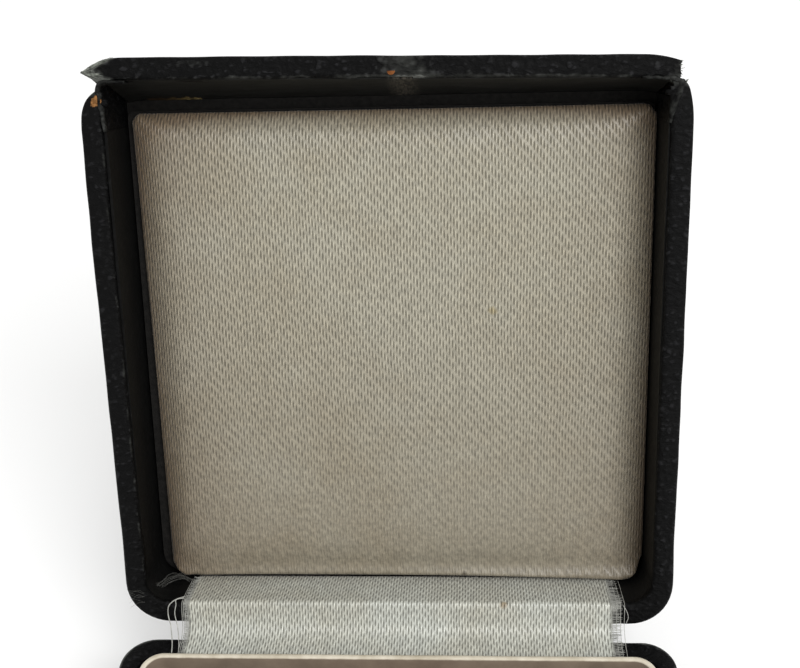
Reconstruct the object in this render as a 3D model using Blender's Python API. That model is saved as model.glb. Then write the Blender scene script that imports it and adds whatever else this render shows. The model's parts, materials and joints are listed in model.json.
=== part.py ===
"""A service medal in its hinged presentation case, standing open.

Frame: +X right, +Y towards the hinge, +Z up. The origin is the centre of the case's underside.
Sizes below are millimetres. The lid's pieces are drawn as if the lid were shut, in the frame of an
empty that lies on the hinge axis, and that empty is turned to the open angle. In that frame
v runs from the lid's hinge side to its front, and w runs from the rim into the lid.
"""

import math
from collections import namedtuple

import bmesh
import bpy
from mathutils import Vector

# Driving dimensions, in millimetres and degrees.
MM = 0.001
CASE_WIDTH = 84.0
CASE_LENGTH = 84.0
REAR_CORNER = 6.5
BASE_REAR_CORNER = 4.8
FRONT_CORNER = 2.5
GAP = 0.3
SKIN = 0.45
SKIN_AND_GAP = SKIN + GAP
WALL = 3.1

BASE_HEIGHT = 15.0
SHEET = 0.4
BOARD = 1.5
TURN_IN = 5.0
SHEET_INSET = 1.0
INSERT_CARD = 1.15
EDGE_SOFT = 0.5
EDGE_SOFT_MIDDLE = 0.15
SMALLEST_RADIUS = 0.2
OVERCUT = 1.0

COLLAR_CARD = 0.8
COLLAR_STAND = 2.1
COLLAR_REAR_ROOM = 0.6

LID_HEIGHT = 14.0
LID_LENGTH = 82.0
FRONT_SPLAY = 2.4
SPLAY_DEPTH = 12.0
LINING = 0.4
SIDE_WALL_END = 78.6
REAR_RETURN = 10.0

OPEN_ANGLE = 110.0
HINGE_BACK = 1.7
RIM_GAP = 0.6

PAD_BOTTOM = 10.05
PAD_BACK = 3.7
PAD_FRONT = 77.2
PAD_HALF_WIDTH = 38.0
PAD_SHIFT = 0.4
PAD_CORNER = 3.5
PAD_BOARD_CORNERS = (1.0, 3.0)
PAD_PROFILE = ((0.5, 10.05), (0.0, 9.45), (0.3, 8.6), (1.4, 7.7), (3.4, 7.0), (8.0, 6.6), (16.0, 6.4))
LID_EDGE = 1.0
LID_EDGE_STEPS = 4
FRONT_SPLIT = 79.8
FRONT_SKIN_ROOM = 0.4
CATCH_SLOT = (78.0, 82.0, 0.9, 3.0)
NAIL_SHIFT = 1.2
NAIL_HEAD = 0.55
NAIL_HEAD_DEPTH = 0.4
NAIL_SHANK = 0.3
NAIL_LENGTH = 5.0

RIBBON_WIDTH = 68.0
RIBBON_SHIFT = 0.45
RIBBON_CLOTH = 0.25
RIBBON_TAIL = 4.5
RIBBON_IN_LID = 7.0
RIBBON_BEND = 0.45

BED_TOP = 9.6
DISC_RADIUS = 18.0
DISC_THICK = 2.6
DISC_Y = -17.5
DISC_SINK = 2.0
RECESS_ROOM = 0.5
DISC_EDGE = 0.4
DISC_RIM = 1.6
FIELD_SINK = 0.5
STAR_POINTS = 5
STAR_OUTER = 9.0
STAR_INNER = 3.9
STAR_TOP = 0.1

DRAPE_WIDTH = 35.0
DRAPE_SHOULDER = 17.5
DRAPE_TOP = 31.6
DRAPE_CLOTH = 0.8
DRAPE_SINK = 1.2
DRAPE_FOOT = 9.2
DRAPE_TIP = 1.5
DRAPE_FOLD = 1.4
DRAPE_EYE = 0.9
BAR_DEPTH = 3.1
BAR_THICK = 1.3
BAR_OVERHANG = 0.7
BAR_POCKET_FLOOR = 8.4
RING_POCKET = (4.2, -1.5, 11.0, 7.2)

RING_RADIUS = 3.0
RING_WIRE = 0.35
RING_Z = 9.2
LUG_RADIUS = 1.2
LUG_WIRE = 0.4

BUTTON_Z = 9.5
BUTTON_HEAD = 2.6
BUTTON_STEM = 2.2
BUTTON_HOLE = 3.0
BUTTON_STAND = 1.1
BUTTON_DOME = ((0.9, 1.15), (1.8, 0.95), (BUTTON_HEAD, 0.4))
ESCUTCHEON = ((0.0, 0.0), (0.0, 0.4), (0.3, 0.5), (1.3, 0.4), (1.6, 0.0))
LEAF_WIDTH = 6.0
LEAF_FRONT = -38.35
LEAF_REAR = -38.0
LEAF_FOOT = 4.9
LEAF_TOP = 17.8
HOOK_REACH = 1.4
HOOK_THICK = 1.0
HOOK_SLOPE = 0.7
LEAF_ROOM = 1.0

ARC_STEPS = 8
HALF = CASE_WIDTH / 2
REAR = CASE_LENGTH / 2
FLOOR_BOTTOM = SHEET + SKIN + 2 * GAP
FLOOR_TOP = FLOOR_BOTTOM + BOARD
BOARD_TOP = FLOOR_TOP + GAP + INSERT_CARD
INNER = WALL + GAP

Plan = namedtuple("Plan", "half_width front rear front_radius rear_radius")
BASE_PLAN = Plan(HALF, -REAR, REAR, FRONT_CORNER, BASE_REAR_CORNER)
COLLAR_PLAN = Plan(HALF, -REAR, REAR, FRONT_CORNER, REAR_CORNER)
LID_PLAN = Plan(HALF, -(HINGE_BACK + LID_LENGTH), -HINGE_BACK, FRONT_CORNER, REAR_CORNER)

COLOURS = {
    "leatherette": (0.020, 0.019, 0.018, 0.62, 0.0),
    "pine": (0.44, 0.27, 0.12, 0.75, 0.0),
    "black_paper": (0.035, 0.032, 0.030, 0.50, 0.0),
    "grey_board": (0.20, 0.17, 0.14, 0.90, 0.0),
    "satin": (0.38, 0.34, 0.28, 0.45, 0.0),
    "cream_card": (0.52, 0.46, 0.36, 0.70, 0.0),
    "flock": (0.30, 0.27, 0.22, 0.95, 0.0),
    "bronze": (0.36, 0.20, 0.09, 0.38, 1.0),
    "brass": (0.62, 0.44, 0.18, 0.35, 1.0),
    "steel": (0.45, 0.44, 0.42, 0.40, 1.0),
    "drape": (0.12, 0.04, 0.05, 0.60, 0.0),
}


# ---------------------------------------------------------------- scene and materials

def clear_scene():
    for item in list(bpy.data.objects):
        bpy.data.objects.remove(item, do_unlink=True)


def material(name):
    found = bpy.data.materials.get(name)
    if found:
        return found
    red, green, blue, roughness, metallic = COLOURS[name]
    made = bpy.data.materials.new(name)
    made.use_nodes = True
    shader = made.node_tree.nodes["Principled BSDF"]
    shader.inputs["Base Color"].default_value = (red, green, blue, 1.0)
    shader.inputs["Roughness"].default_value = roughness
    shader.inputs["Metallic"].default_value = metallic
    made.diffuse_color = (red, green, blue, 1.0)
    return made


def add_object(name, mesh_data, colour, parent=None):
    """Turn a bmesh in millimetres into an object in metres."""
    bmesh.ops.recalc_face_normals(mesh_data, faces=mesh_data.faces)
    bmesh.ops.scale(mesh_data, vec=(MM, MM, MM), verts=mesh_data.verts)
    mesh = bpy.data.meshes.new(name)
    mesh_data.to_mesh(mesh)
    mesh_data.free()
    made = bpy.data.objects.new(name, mesh)
    bpy.context.scene.collection.objects.link(made)
    made.parent = parent
    if colour:
        mesh.materials.append(material(colour))
    return made


def cutter(mesh_data, parent=None):
    made = add_object("cutter", mesh_data, None, parent)
    made.hide_render = True
    made.display_type = "WIRE"
    return made


def combine(body, tool, operation="DIFFERENCE"):
    step = body.modifiers.new("cut", "BOOLEAN")
    step.operation = operation
    step.object = tool
    return body


def smooth(body, angle=35.0):
    body.data.shade_smooth()
    body.data.set_sharp_from_angle(angle=math.radians(angle))
    return body


# ---------------------------------------------------------------- outlines and solids

def corner(centre_x, centre_y, radius, start_degrees, turn=90.0):
    """Points of one rounded corner, turning anticlockwise for a positive turn."""
    points = []
    for step in range(ARC_STEPS + 1):
        angle = math.radians(start_degrees + turn * step / ARC_STEPS)
        points.append((centre_x + radius * math.cos(angle), centre_y + radius * math.sin(angle)))
    return points


def outline(plan, inset, rear_room=0.0):
    """A rounded rectangle seen from above, moved inwards by inset."""
    side = plan.half_width - inset
    rear = plan.rear - inset - rear_room
    front = plan.front + inset
    rear_r = max(plan.rear_radius - inset, SMALLEST_RADIUS)
    front_r = max(plan.front_radius - inset, SMALLEST_RADIUS)
    return (
        corner(side - rear_r, rear - rear_r, rear_r, 0)
        + corner(-side + rear_r, rear - rear_r, rear_r, 90)
        + corner(-side + front_r, front + front_r, front_r, 180)
        + corner(side - front_r, front + front_r, front_r, 270)
    )


def u_outline(plan, outer, inner, reach):
    """A wall that runs up one side, round both rear corners and down the other, ending at y = reach."""
    points = []
    for inset, way in ((outer, 1), (inner, -1)):
        side = plan.half_width - inset
        radius = max(plan.rear_radius - inset, SMALLEST_RADIUS)
        centre_y = plan.rear - inset - radius
        right = corner(side - radius, centre_y, radius, 0)
        left = corner(-side + radius, centre_y, radius, 90)
        run = [(side, reach)] + right + left + [(-side, reach)]
        points += run[::way]
    return points


def loft(rings, closed=False):
    """Skin equal rings of 3-D points; closed joins the last ring to the first, else the ends are capped."""
    shape = bmesh.new()
    loops = [[shape.verts.new(point) for point in ring] for ring in rings]
    pairs = list(zip(loops, loops[1:]))
    if closed:
        pairs.append((loops[-1], loops[0]))
    else:
        shape.faces.new(loops[0])
        shape.faces.new(loops[-1])
    count = len(rings[0])
    for below, above in pairs:
        for index in range(count):
            after = (index + 1) % count
            shape.faces.new((below[index], below[after], above[after], above[index]))
    return shape


def upright(points, z_low, z_high):
    """Extrude an outline in the XY plane upwards."""
    return loft([[(x, y, z_low) for x, y in points], [(x, y, z_high) for x, y in points]])


def sideways(points, x_low, x_high):
    """Extrude an outline in the YZ plane along X."""
    return loft([[(x_low, y, z) for y, z in points], [(x_high, y, z) for y, z in points]])


def block(x_low, x_high, y_low, y_high, z_low, z_high):
    return upright([(x_low, y_low), (x_high, y_low), (x_high, y_high), (x_low, y_high)], z_low, z_high)


def turned(profile, centre, axis, steps=48, closed=False):
    """Spin a profile of (radius, along) about an axis, X, Y or Z, through centre."""
    rings = []
    for radius, along in profile:
        ring = []
        for step in range(steps):
            angle = math.tau * step / steps
            flat = (radius * math.cos(angle), radius * math.sin(angle))
            spot = {
                "X": (along, flat[0], flat[1]),
                "Y": (flat[1], along, flat[0]),
                "Z": (flat[0], flat[1], along),
            }[axis]
            ring.append(Vector(spot) + Vector(centre))
        rings.append(ring)
    return loft(rings, closed)


def torus(centre, axis, radius, wire, steps=40, wire_steps=12):
    profile = []
    for step in range(wire_steps):
        angle = math.tau * step / wire_steps
        profile.append((radius + wire * math.cos(angle), wire * math.sin(angle)))
    return turned(profile, centre, axis, steps, closed=True)


# ---------------------------------------------------------------- base

def build_base_box():
    """The wooden tray: bottom paper, floor board, three planks and a rear wall with round corners."""
    add_object("base_bottom_sheet", upright(outline(BASE_PLAN, SHEET_INSET), 0.0, SHEET), "black_paper")
    floor = outline(BASE_PLAN, SKIN_AND_GAP)
    add_object("base_floor_board", upright(floor, FLOOR_BOTTOM, FLOOR_TOP), "pine")
    low = FLOOR_TOP + GAP
    high = BASE_HEIGHT - SKIN_AND_GAP
    reach = REAR - REAR_RETURN
    front_inside = -REAR + WALL
    rear_wall = u_outline(BASE_PLAN, SKIN_AND_GAP, WALL, reach)
    add_object("base_rear_wall", upright(rear_wall, low, high), "pine")
    for name, side in (("base_left_wall", -1), ("base_right_wall", 1)):
        edges = sorted((side * (HALF - SKIN_AND_GAP), side * (HALF - WALL)))
        plank = block(*edges, front_inside + GAP, reach - GAP, low, high)
        add_object(name, plank, "pine")
    side = HALF - SKIN_AND_GAP
    radius = FRONT_CORNER - SKIN_AND_GAP
    front = -side
    plank = (
        [(side, front_inside), (-side, front_inside)]
        + corner(-side + radius, front + radius, radius, 180)
        + corner(side - radius, front + radius, radius, 270)
    )
    front_wall = add_object("base_front_wall", upright(plank, low, high), "pine")
    combine(front_wall, cutter(button_hole()))
    smooth(front_wall)


def button_hole():
    through = [(BUTTON_HOLE, -REAR - OVERCUT), (BUTTON_HOLE, -REAR + WALL + OVERCUT)]
    return turned(through, (0, 0, BUTTON_Z), "Y", 32)


def build_base_cover():
    """Leatherette glued round the tray: turned in over the rim and under the floor board."""
    low = SHEET + GAP
    profile = [
        (EDGE_SOFT, low), (EDGE_SOFT_MIDDLE, low + EDGE_SOFT_MIDDLE), (0.0, low + EDGE_SOFT),
        (0.0, BASE_HEIGHT - EDGE_SOFT), (EDGE_SOFT_MIDDLE, BASE_HEIGHT - EDGE_SOFT_MIDDLE),
        (EDGE_SOFT, BASE_HEIGHT),
        (WALL, BASE_HEIGHT), (WALL, BASE_HEIGHT - SKIN), (SKIN, BASE_HEIGHT - SKIN),
        (SKIN, low + SKIN), (TURN_IN, low + SKIN), (TURN_IN, low),
    ]
    rings = [[(x, y, z) for x, y in outline(BASE_PLAN, inset)] for inset, z in profile]
    cover = add_object("base_cover", loft(rings, closed=True), "leatherette")
    combine(cover, cutter(button_hole()))
    smooth(cover)


def build_collar():
    """A loose card frame that stands up inside the tray, notched at the front for the catch."""
    rings = []
    low = FLOOR_TOP + GAP
    high = BASE_HEIGHT + COLLAR_STAND
    for inset, z in ((INNER, low), (INNER, high), (INNER + COLLAR_CARD, high), (INNER + COLLAR_CARD, low)):
        rings.append([(x, y, z) for x, y in outline(COLLAR_PLAN, inset, COLLAR_REAR_ROOM)])
    collar = add_object("collar", loft(rings, closed=True), "cream_card")
    half = LEAF_WIDTH / 2 + LEAF_ROOM
    behind = -REAR + INNER + COLLAR_CARD + OVERCUT
    notch = block(-half, half, -REAR + WALL, behind, LEAF_FOOT - LEAF_ROOM, high + OVERCUT)
    combine(collar, cutter(notch))
    smooth(collar)


def drape_outline(room):
    """The folded medal ribbon seen from the front: square shoulders and a pointed foot."""
    half = DRAPE_WIDTH / 2 + room
    tip = DRAPE_TIP + room
    foot = DRAPE_FOOT - room
    shoulder = DRAPE_SHOULDER - room
    top = DRAPE_TOP + room
    return [(-tip, foot), (tip, foot), (half, shoulder), (half, top), (-half, top), (-half, shoulder)]


def build_bed():
    """The card insert and the flocked block on it, sunk to the medal's own shape."""
    inside = INNER + COLLAR_CARD + GAP
    plan = outline(COLLAR_PLAN, inside, COLLAR_REAR_ROOM)
    add_object("insert_board", upright(plan, FLOOR_TOP + GAP, BOARD_TOP), "grey_board")
    bed = add_object("medal_bed", upright(plan, BOARD_TOP + GAP, BED_TOP), "flock")
    above = BED_TOP + OVERCUT
    radius = DISC_RADIUS + RECESS_ROOM
    combine(bed, cutter(turned([(radius, BED_TOP - DISC_SINK), (radius, above)], (0, DISC_Y, 0), "Z", 64)))
    pocket_half, pocket_front, pocket_rear, pocket_floor = RING_POCKET
    combine(bed, cutter(block(-pocket_half, pocket_half, pocket_front, pocket_rear, pocket_floor, above)))
    combine(bed, cutter(upright(drape_outline(RECESS_ROOM), BED_TOP - DRAPE_SINK, above)))
    bar_half = DRAPE_WIDTH / 2 + BAR_OVERHANG + RECESS_ROOM
    bar_rear = DRAPE_TOP + GAP + BAR_DEPTH + RECESS_ROOM
    bar_front = DRAPE_TOP - RECESS_ROOM
    combine(bed, cutter(block(-bar_half, bar_half, bar_front, bar_rear, BAR_POCKET_FLOOR, above)))
    relief = LEAF_WIDTH / 2 + LEAF_ROOM
    combine(bed, cutter(block(-relief, relief, -REAR, LEAF_REAR + LEAF_ROOM, LEAF_FOOT - LEAF_ROOM, above)))


# ---------------------------------------------------------------- catch

def build_catch():
    """A push button through the front wall, and the spring leaf behind it with a hook at its top."""
    stem_end = LEAF_FRONT - GAP
    head_back = -REAR - BUTTON_STAND
    profile = [(radius, head_back - rise) for radius, rise in BUTTON_DOME]
    profile += [(BUTTON_HEAD, head_back), (BUTTON_STEM, head_back), (BUTTON_STEM, stem_end)]
    smooth(add_object("push_button", turned(profile, (0, 0, BUTTON_Z), "Y", 32), "brass"))
    plate_back = -REAR - GAP
    ring = [(BUTTON_HOLE + width, plate_back - rise) for width, rise in ESCUTCHEON]
    smooth(add_object("button_escutcheon", turned(ring, (0, 0, BUTTON_Z), "Y", 40, closed=True), "brass"))
    foot = LEAF_FOOT - 0.3
    leaf = [
        (LEAF_REAR, foot), (LEAF_REAR, LEAF_TOP), (LEAF_FRONT, LEAF_TOP),
        (LEAF_FRONT - HOOK_REACH, LEAF_TOP - HOOK_SLOPE), (LEAF_FRONT - HOOK_REACH, LEAF_TOP - HOOK_THICK),
        (LEAF_FRONT, LEAF_TOP - HOOK_THICK), (LEAF_FRONT, foot),
    ]
    add_object("catch_leaf", sideways(leaf, -LEAF_WIDTH / 2, LEAF_WIDTH / 2), "steel")


# ---------------------------------------------------------------- medal

def build_medal():
    """A plain struck disc with a star, its lug and jump ring, and the folded ribbon on a brooch bar."""
    low = BED_TOP - DISC_SINK + GAP
    high = low + DISC_THICK
    field = DISC_RADIUS - DISC_RIM
    profile = [
        (DISC_RADIUS - DISC_EDGE, low), (DISC_RADIUS, low + DISC_EDGE), (DISC_RADIUS, high - DISC_EDGE),
        (DISC_RADIUS - DISC_EDGE, high), (field, high), (field - FIELD_SINK, high - FIELD_SINK),
    ]
    disc = add_object("medal_disc", turned(profile, (0, DISC_Y, 0), "Z", 72), "bronze")
    star = []
    for point in range(2 * STAR_POINTS):
        radius = STAR_INNER if point % 2 else STAR_OUTER
        angle = math.radians(90 + 180 * point / STAR_POINTS)
        star.append((radius * math.cos(angle), DISC_Y + radius * math.sin(angle)))
    combine(disc, cutter(upright(star, high - 2 * FIELD_SINK, high - STAR_TOP)), "UNION")
    smooth(disc)
    lug_y = DISC_Y + DISC_RADIUS + GAP + LUG_RADIUS + LUG_WIRE
    smooth(add_object("medal_lug", torus((0, lug_y, RING_Z), "X", LUG_RADIUS, LUG_WIRE, 24, 10), "bronze"))
    ring_y = lug_y + 0.2 + RING_RADIUS
    smooth(add_object("jump_ring", torus((0, ring_y, RING_Z), "Z", RING_RADIUS, RING_WIRE), "brass"))
    fold_y = ring_y + RING_RADIUS - 0.2
    cloth_low = BED_TOP - DRAPE_SINK + GAP
    shape = upright(drape_outline(0.0), cloth_low, cloth_low + DRAPE_CLOTH)
    drape = add_object("medal_ribbon", shape, "drape")
    fold = turned([(DRAPE_FOLD, -DRAPE_TIP), (DRAPE_FOLD, DRAPE_TIP)], (0, fold_y, RING_Z), "X", 24)
    combine(drape, cutter(fold), "UNION")
    eye_end = DRAPE_TIP + OVERCUT
    eye = turned([(DRAPE_EYE, -eye_end), (DRAPE_EYE, eye_end)], (0, fold_y, RING_Z), "X", 24)
    combine(drape, cutter(eye))
    bar_y = DRAPE_TOP + GAP
    half = DRAPE_WIDTH / 2 + BAR_OVERHANG
    shape = block(-half, half, bar_y, bar_y + BAR_DEPTH, cloth_low, cloth_low + BAR_THICK)
    bar = add_object("brooch_bar", shape, "bronze")
    soften = bar.modifiers.new("soften", "BEVEL")
    soften.width = 0.35 * MM
    soften.segments = 2


# ---------------------------------------------------------------- lid

def lid_y(v):
    return -(HINGE_BACK + v)


def lid_z(w):
    return RIM_GAP / 2 + w


def front_face(w):
    """The splayed front's outer face, as a distance v, at depth w."""
    return LID_LENGTH + FRONT_SPLAY * (1.0 - w / SPLAY_DEPTH)


def front_slab(outer, inner, w_low, w_high):
    """A slice of the leaning front wall between two offsets from its outer face."""
    corners = ((outer, w_low), (outer, w_high), (inner, w_high), (inner, w_low))
    return [(lid_y(front_face(w) - offset), lid_z(w)) for offset, w in corners]


def build_lid_box(hinge):
    low = SKIN_AND_GAP
    high = LID_HEIGHT - SKIN_AND_GAP - BOARD - GAP
    wood_inner = WALL - LINING - GAP
    reach = lid_y(REAR_RETURN)
    rear_wall = u_outline(LID_PLAN, SKIN_AND_GAP, wood_inner, reach)
    add_object("lid_rear_wall", upright(rear_wall, lid_z(low), lid_z(high)), "pine", hinge)
    for name, side in (("lid_left_wall", -1), ("lid_right_wall", 1)):
        edges = sorted((side * (HALF - SKIN_AND_GAP), side * (HALF - wood_inner)))
        plank = block(*edges, lid_y(SIDE_WALL_END), reach - GAP, lid_z(low), lid_z(high))
        add_object(name, plank, "pine", hinge)
    lining = u_outline(LID_PLAN, WALL - LINING, WALL, lid_y(SIDE_WALL_END))
    smooth(add_object("lid_lining", upright(lining, lid_z(low), lid_z(high)), "black_paper", hinge))
    board = outline(LID_PLAN, SKIN_AND_GAP)
    add_object("lid_top_board", upright(board, lid_z(high + GAP), lid_z(high + GAP + BOARD)), "pine", hinge)


def build_lid_front(hinge):
    """The front wall, which leans out and has come away from the side walls, with its skin and lining."""
    low = SKIN_AND_GAP
    high = LID_HEIGHT - SKIN_AND_GAP - BOARD - GAP
    side = HALF - SKIN_AND_GAP
    wood = front_slab(SKIN_AND_GAP, WALL - LINING - GAP, low, high)
    wall = add_object("lid_front_wall", sideways(wood, -side, side), "pine", hinge)
    paper = front_slab(WALL - LINING, WALL, low, high)
    lining = add_object("lid_front_lining", sideways(paper, -HALF + WALL, HALF - WALL), "black_paper", hinge)
    skin_foot = LID_HEIGHT - SKIN - GAP - FRONT_SKIN_ROOM
    skin = [
        (0.0, skin_foot), (0.0, EDGE_SOFT), (EDGE_SOFT_MIDDLE, EDGE_SOFT_MIDDLE), (EDGE_SOFT, 0.0),
        (WALL, 0.0), (WALL, SKIN), (SKIN, SKIN), (SKIN, skin_foot),
    ]
    points = [(lid_y(front_face(w) - offset), lid_z(w)) for offset, w in skin]
    cover = add_object("lid_front_cover", sideways(points, -HALF + GAP, HALF - GAP), "leatherette", hinge)
    slot_half = LEAF_WIDTH / 2 + GAP + GAP
    slot_inner, slot_outer, slot_low, slot_high = CATCH_SLOT
    slot = (-slot_half, slot_half, lid_y(slot_outer), lid_y(slot_inner), lid_z(slot_low), lid_z(slot_high))
    combine(wall, cutter(block(*slot), hinge))
    combine(lining, cutter(block(*slot), hinge))
    nail_profile = [
        (NAIL_HEAD, 0.0), (NAIL_HEAD, NAIL_HEAD_DEPTH), (NAIL_SHANK, NAIL_HEAD_DEPTH),
        (NAIL_SHANK, NAIL_LENGTH),
    ]
    nail = add_object("strike_nail", turned(nail_profile, (0, 0, 0), "Z", 16), "brass", hinge)
    for wanted, radius in ((cover, NAIL_HEAD + GAP), (wall, 2 * NAIL_SHANK)):
        hole = cutter(turned([(radius, -OVERCUT), (radius, NAIL_LENGTH + GAP)], (0, 0, 0), "Z", 20), hinge)
        place_on_front(hole)
        combine(wanted, hole)
    place_on_front(nail)
    smooth(cover)
    smooth(nail)


def place_on_front(item):
    """Stand a piece in the middle of the front's rim, in line with its lean."""
    v = front_face(0.0) - WALL / 2
    item.location = (NAIL_SHIFT * MM, lid_y(v) * MM, lid_z(0.0) * MM)
    item.rotation_euler = (-math.atan(FRONT_SPLAY / SPLAY_DEPTH), 0.0, 0.0)


def build_lid_cover(hinge):
    """Leatherette over the lid's top and three sides; the front carries a piece of its own."""
    top = LID_HEIGHT
    profile = [(EDGE_SOFT, 0.0), (EDGE_SOFT_MIDDLE, EDGE_SOFT_MIDDLE), (0.0, EDGE_SOFT)]
    for step in range(LID_EDGE_STEPS + 1):
        angle = math.radians(90 * step / LID_EDGE_STEPS)
        profile.append((LID_EDGE * (1 - math.cos(angle)), top - LID_EDGE + LID_EDGE * math.sin(angle)))
    rings = [[(x, y, lid_z(w)) for x, y in outline(LID_PLAN, inset)] for inset, w in profile]
    cover = add_object("lid_cover", loft(rings), "leatherette", hinge)
    hollow = outline(LID_PLAN, SKIN)
    combine(cover, cutter(upright(hollow, lid_z(SKIN), lid_z(top - SKIN)), hinge))
    mouth = outline(LID_PLAN._replace(front=LID_PLAN.front - 2 * WALL), WALL)
    combine(cover, cutter(upright(mouth, lid_z(-OVERCUT), lid_z(OVERCUT)), hinge))
    wide = HALF + OVERCUT
    far = LID_LENGTH + OVERCUT
    foot = top - SKIN - FRONT_SKIN_ROOM
    front = block(-wide, wide, lid_y(far), lid_y(FRONT_SPLIT), lid_z(-OVERCUT), lid_z(foot))
    combine(cover, cutter(front, hinge))
    smooth(cover)


def build_lid_pad(hinge):
    """A card under the satin, and the wadded satin pad on it, higher in its middle than at its edges."""
    high = LID_HEIGHT - SKIN_AND_GAP - BOARD - GAP
    board_plan = Plan(HALF - INNER, lid_y(PAD_FRONT + GAP), lid_y(INNER), *PAD_BOARD_CORNERS)
    board = upright(outline(board_plan, 0.0), lid_z(PAD_BOTTOM + GAP), lid_z(high))
    add_object("lid_pad_board", board, "grey_board", hinge)
    plan = Plan(PAD_HALF_WIDTH, lid_y(PAD_FRONT), lid_y(PAD_BACK), PAD_CORNER, PAD_CORNER)
    rings = []
    for inset, w in PAD_PROFILE:
        rings.append([(x + PAD_SHIFT, y, lid_z(w)) for x, y in outline(plan, inset)])
    smooth(add_object("lid_pad", loft(rings), "satin", hinge), 60.0)


# ---------------------------------------------------------------- hinge ribbon

def open_point(v, w):
    """Where a point of the open lid stands in the case's own frame, as (y, z)."""
    angle = math.radians(-OPEN_ANGLE)
    y, z = lid_y(v), lid_z(w)
    hinge_y, hinge_z = REAR + HINGE_BACK, BASE_HEIGHT + RIM_GAP / 2
    return (
        hinge_y + y * math.cos(angle) - z * math.sin(angle),
        hinge_z + y * math.sin(angle) + z * math.cos(angle),
    )


def rounded_path(points, radius, steps=5):
    """Replace each inner corner of a path by a short curve that starts and ends radius away from it."""
    path = [Vector(points[0])]
    for before, here, after in zip(points, points[1:], points[2:]):
        here = Vector(here)
        start = here + (Vector(before) - here).normalized() * radius
        end = here + (Vector(after) - here).normalized() * radius
        for step in range(steps + 1):
            part = step / steps
            path.append(start.lerp(here, part).lerp(here.lerp(end, part), part))
    path.append(Vector(points[-1]))
    return path


def strip_outline(path, thickness):
    """The outline of a strip of one thickness whose middle follows a path."""
    sides = []
    for index, here in enumerate(path):
        before = path[max(index - 1, 0)]
        after = path[min(index + 1, len(path) - 1)]
        along = (after - before).normalized()
        across = Vector((-along.y, along.x)) * thickness / 2
        sides.append((here + across, here - across))
    left = [tuple(pair[0]) for pair in sides]
    right = [tuple(pair[1]) for pair in sides]
    return left + right[::-1]


def build_hinge_ribbon():
    """Satin ribbon from behind the collar, over both rims and down the lid's rear wall: the case's hinge."""
    stand_off = GAP + RIBBON_CLOTH / 2
    base_inner = REAR - WALL - stand_off
    base_top = BASE_HEIGHT + stand_off
    lid_inner = WALL + stand_off
    path = rounded_path(
        [
            (base_inner, BASE_HEIGHT - RIBBON_TAIL),
            (base_inner, base_top),
            (REAR - 0.4, base_top),
            open_point(0.2, -stand_off),
            open_point(lid_inner, -stand_off),
            open_point(lid_inner, RIBBON_IN_LID),
        ],
        RIBBON_BEND,
    )
    half = RIBBON_WIDTH / 2
    strip = sideways(strip_outline(path, RIBBON_CLOTH), RIBBON_SHIFT - half, RIBBON_SHIFT + half)
    smooth(add_object("hinge_ribbon", strip, "satin"), 50.0)


# ---------------------------------------------------------------- assembly

def main():
    clear_scene()
    build_base_box()
    build_base_cover()
    build_collar()
    build_bed()
    build_catch()
    build_medal()
    hinge = bpy.data.objects.new("lid_hinge", None)
    bpy.context.scene.collection.objects.link(hinge)
    hinge.location = (0.0, (REAR + HINGE_BACK) * MM, (BASE_HEIGHT + RIM_GAP / 2) * MM)
    hinge.rotation_euler = (math.radians(-OPEN_ANGLE), 0.0, 0.0)
    build_lid_box(hinge)
    build_lid_front(hinge)
    build_lid_cover(hinge)
    build_lid_pad(hinge)
    build_hinge_ribbon()


main()
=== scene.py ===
"""An old medal case: worn leatherette, satin pad, frayed ribbon hinge and the medal in its bed.

Lengths are millimetres, turned into metres when a mesh is made. Two frames are used. The case's own
frame is the CAD's. The lid's frame lies on the hinge, as if the lid were shut; in it u runs across,
v from the hinge side to the front, and w from the rim into the lid.
"""

import json
import math
import random

import bmesh
import bpy
import numpy as np
from mathutils import Matrix, Vector, noise


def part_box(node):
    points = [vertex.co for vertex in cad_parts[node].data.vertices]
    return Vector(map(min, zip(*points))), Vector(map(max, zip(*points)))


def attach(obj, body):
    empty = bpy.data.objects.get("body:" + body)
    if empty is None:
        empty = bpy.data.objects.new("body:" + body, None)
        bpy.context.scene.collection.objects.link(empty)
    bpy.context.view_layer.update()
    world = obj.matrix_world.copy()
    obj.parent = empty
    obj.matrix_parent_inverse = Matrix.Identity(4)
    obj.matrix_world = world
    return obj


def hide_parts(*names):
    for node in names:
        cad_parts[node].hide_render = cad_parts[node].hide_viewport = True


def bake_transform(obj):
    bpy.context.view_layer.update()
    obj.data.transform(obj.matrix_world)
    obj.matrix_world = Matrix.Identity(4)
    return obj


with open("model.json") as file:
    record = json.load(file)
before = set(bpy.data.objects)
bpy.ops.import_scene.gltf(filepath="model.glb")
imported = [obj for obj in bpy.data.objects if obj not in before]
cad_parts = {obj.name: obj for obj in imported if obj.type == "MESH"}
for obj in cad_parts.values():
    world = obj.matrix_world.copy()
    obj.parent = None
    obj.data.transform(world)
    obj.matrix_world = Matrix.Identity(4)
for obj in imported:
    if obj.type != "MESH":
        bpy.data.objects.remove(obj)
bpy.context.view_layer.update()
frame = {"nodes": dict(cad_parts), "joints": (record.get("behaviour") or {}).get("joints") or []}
MM = 0.001
random.seed(7)
draw = random.uniform


# ---------------------------------------------------------------- sizes read from the frame

def joint_named(name):
    return next(joint for joint in frame["joints"] if joint["name"] == name)


HINGE = joint_named("lid_hinge")
HINGE_SPOT = Vector(HINGE["pos_m"])
OPEN_ANGLE = math.radians(HINGE["range_deg"][1])
LID_FRAME = Matrix.Translation(HINGE_SPOT) @ Matrix.Rotation(-OPEN_ANGLE, 4, "X")


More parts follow.
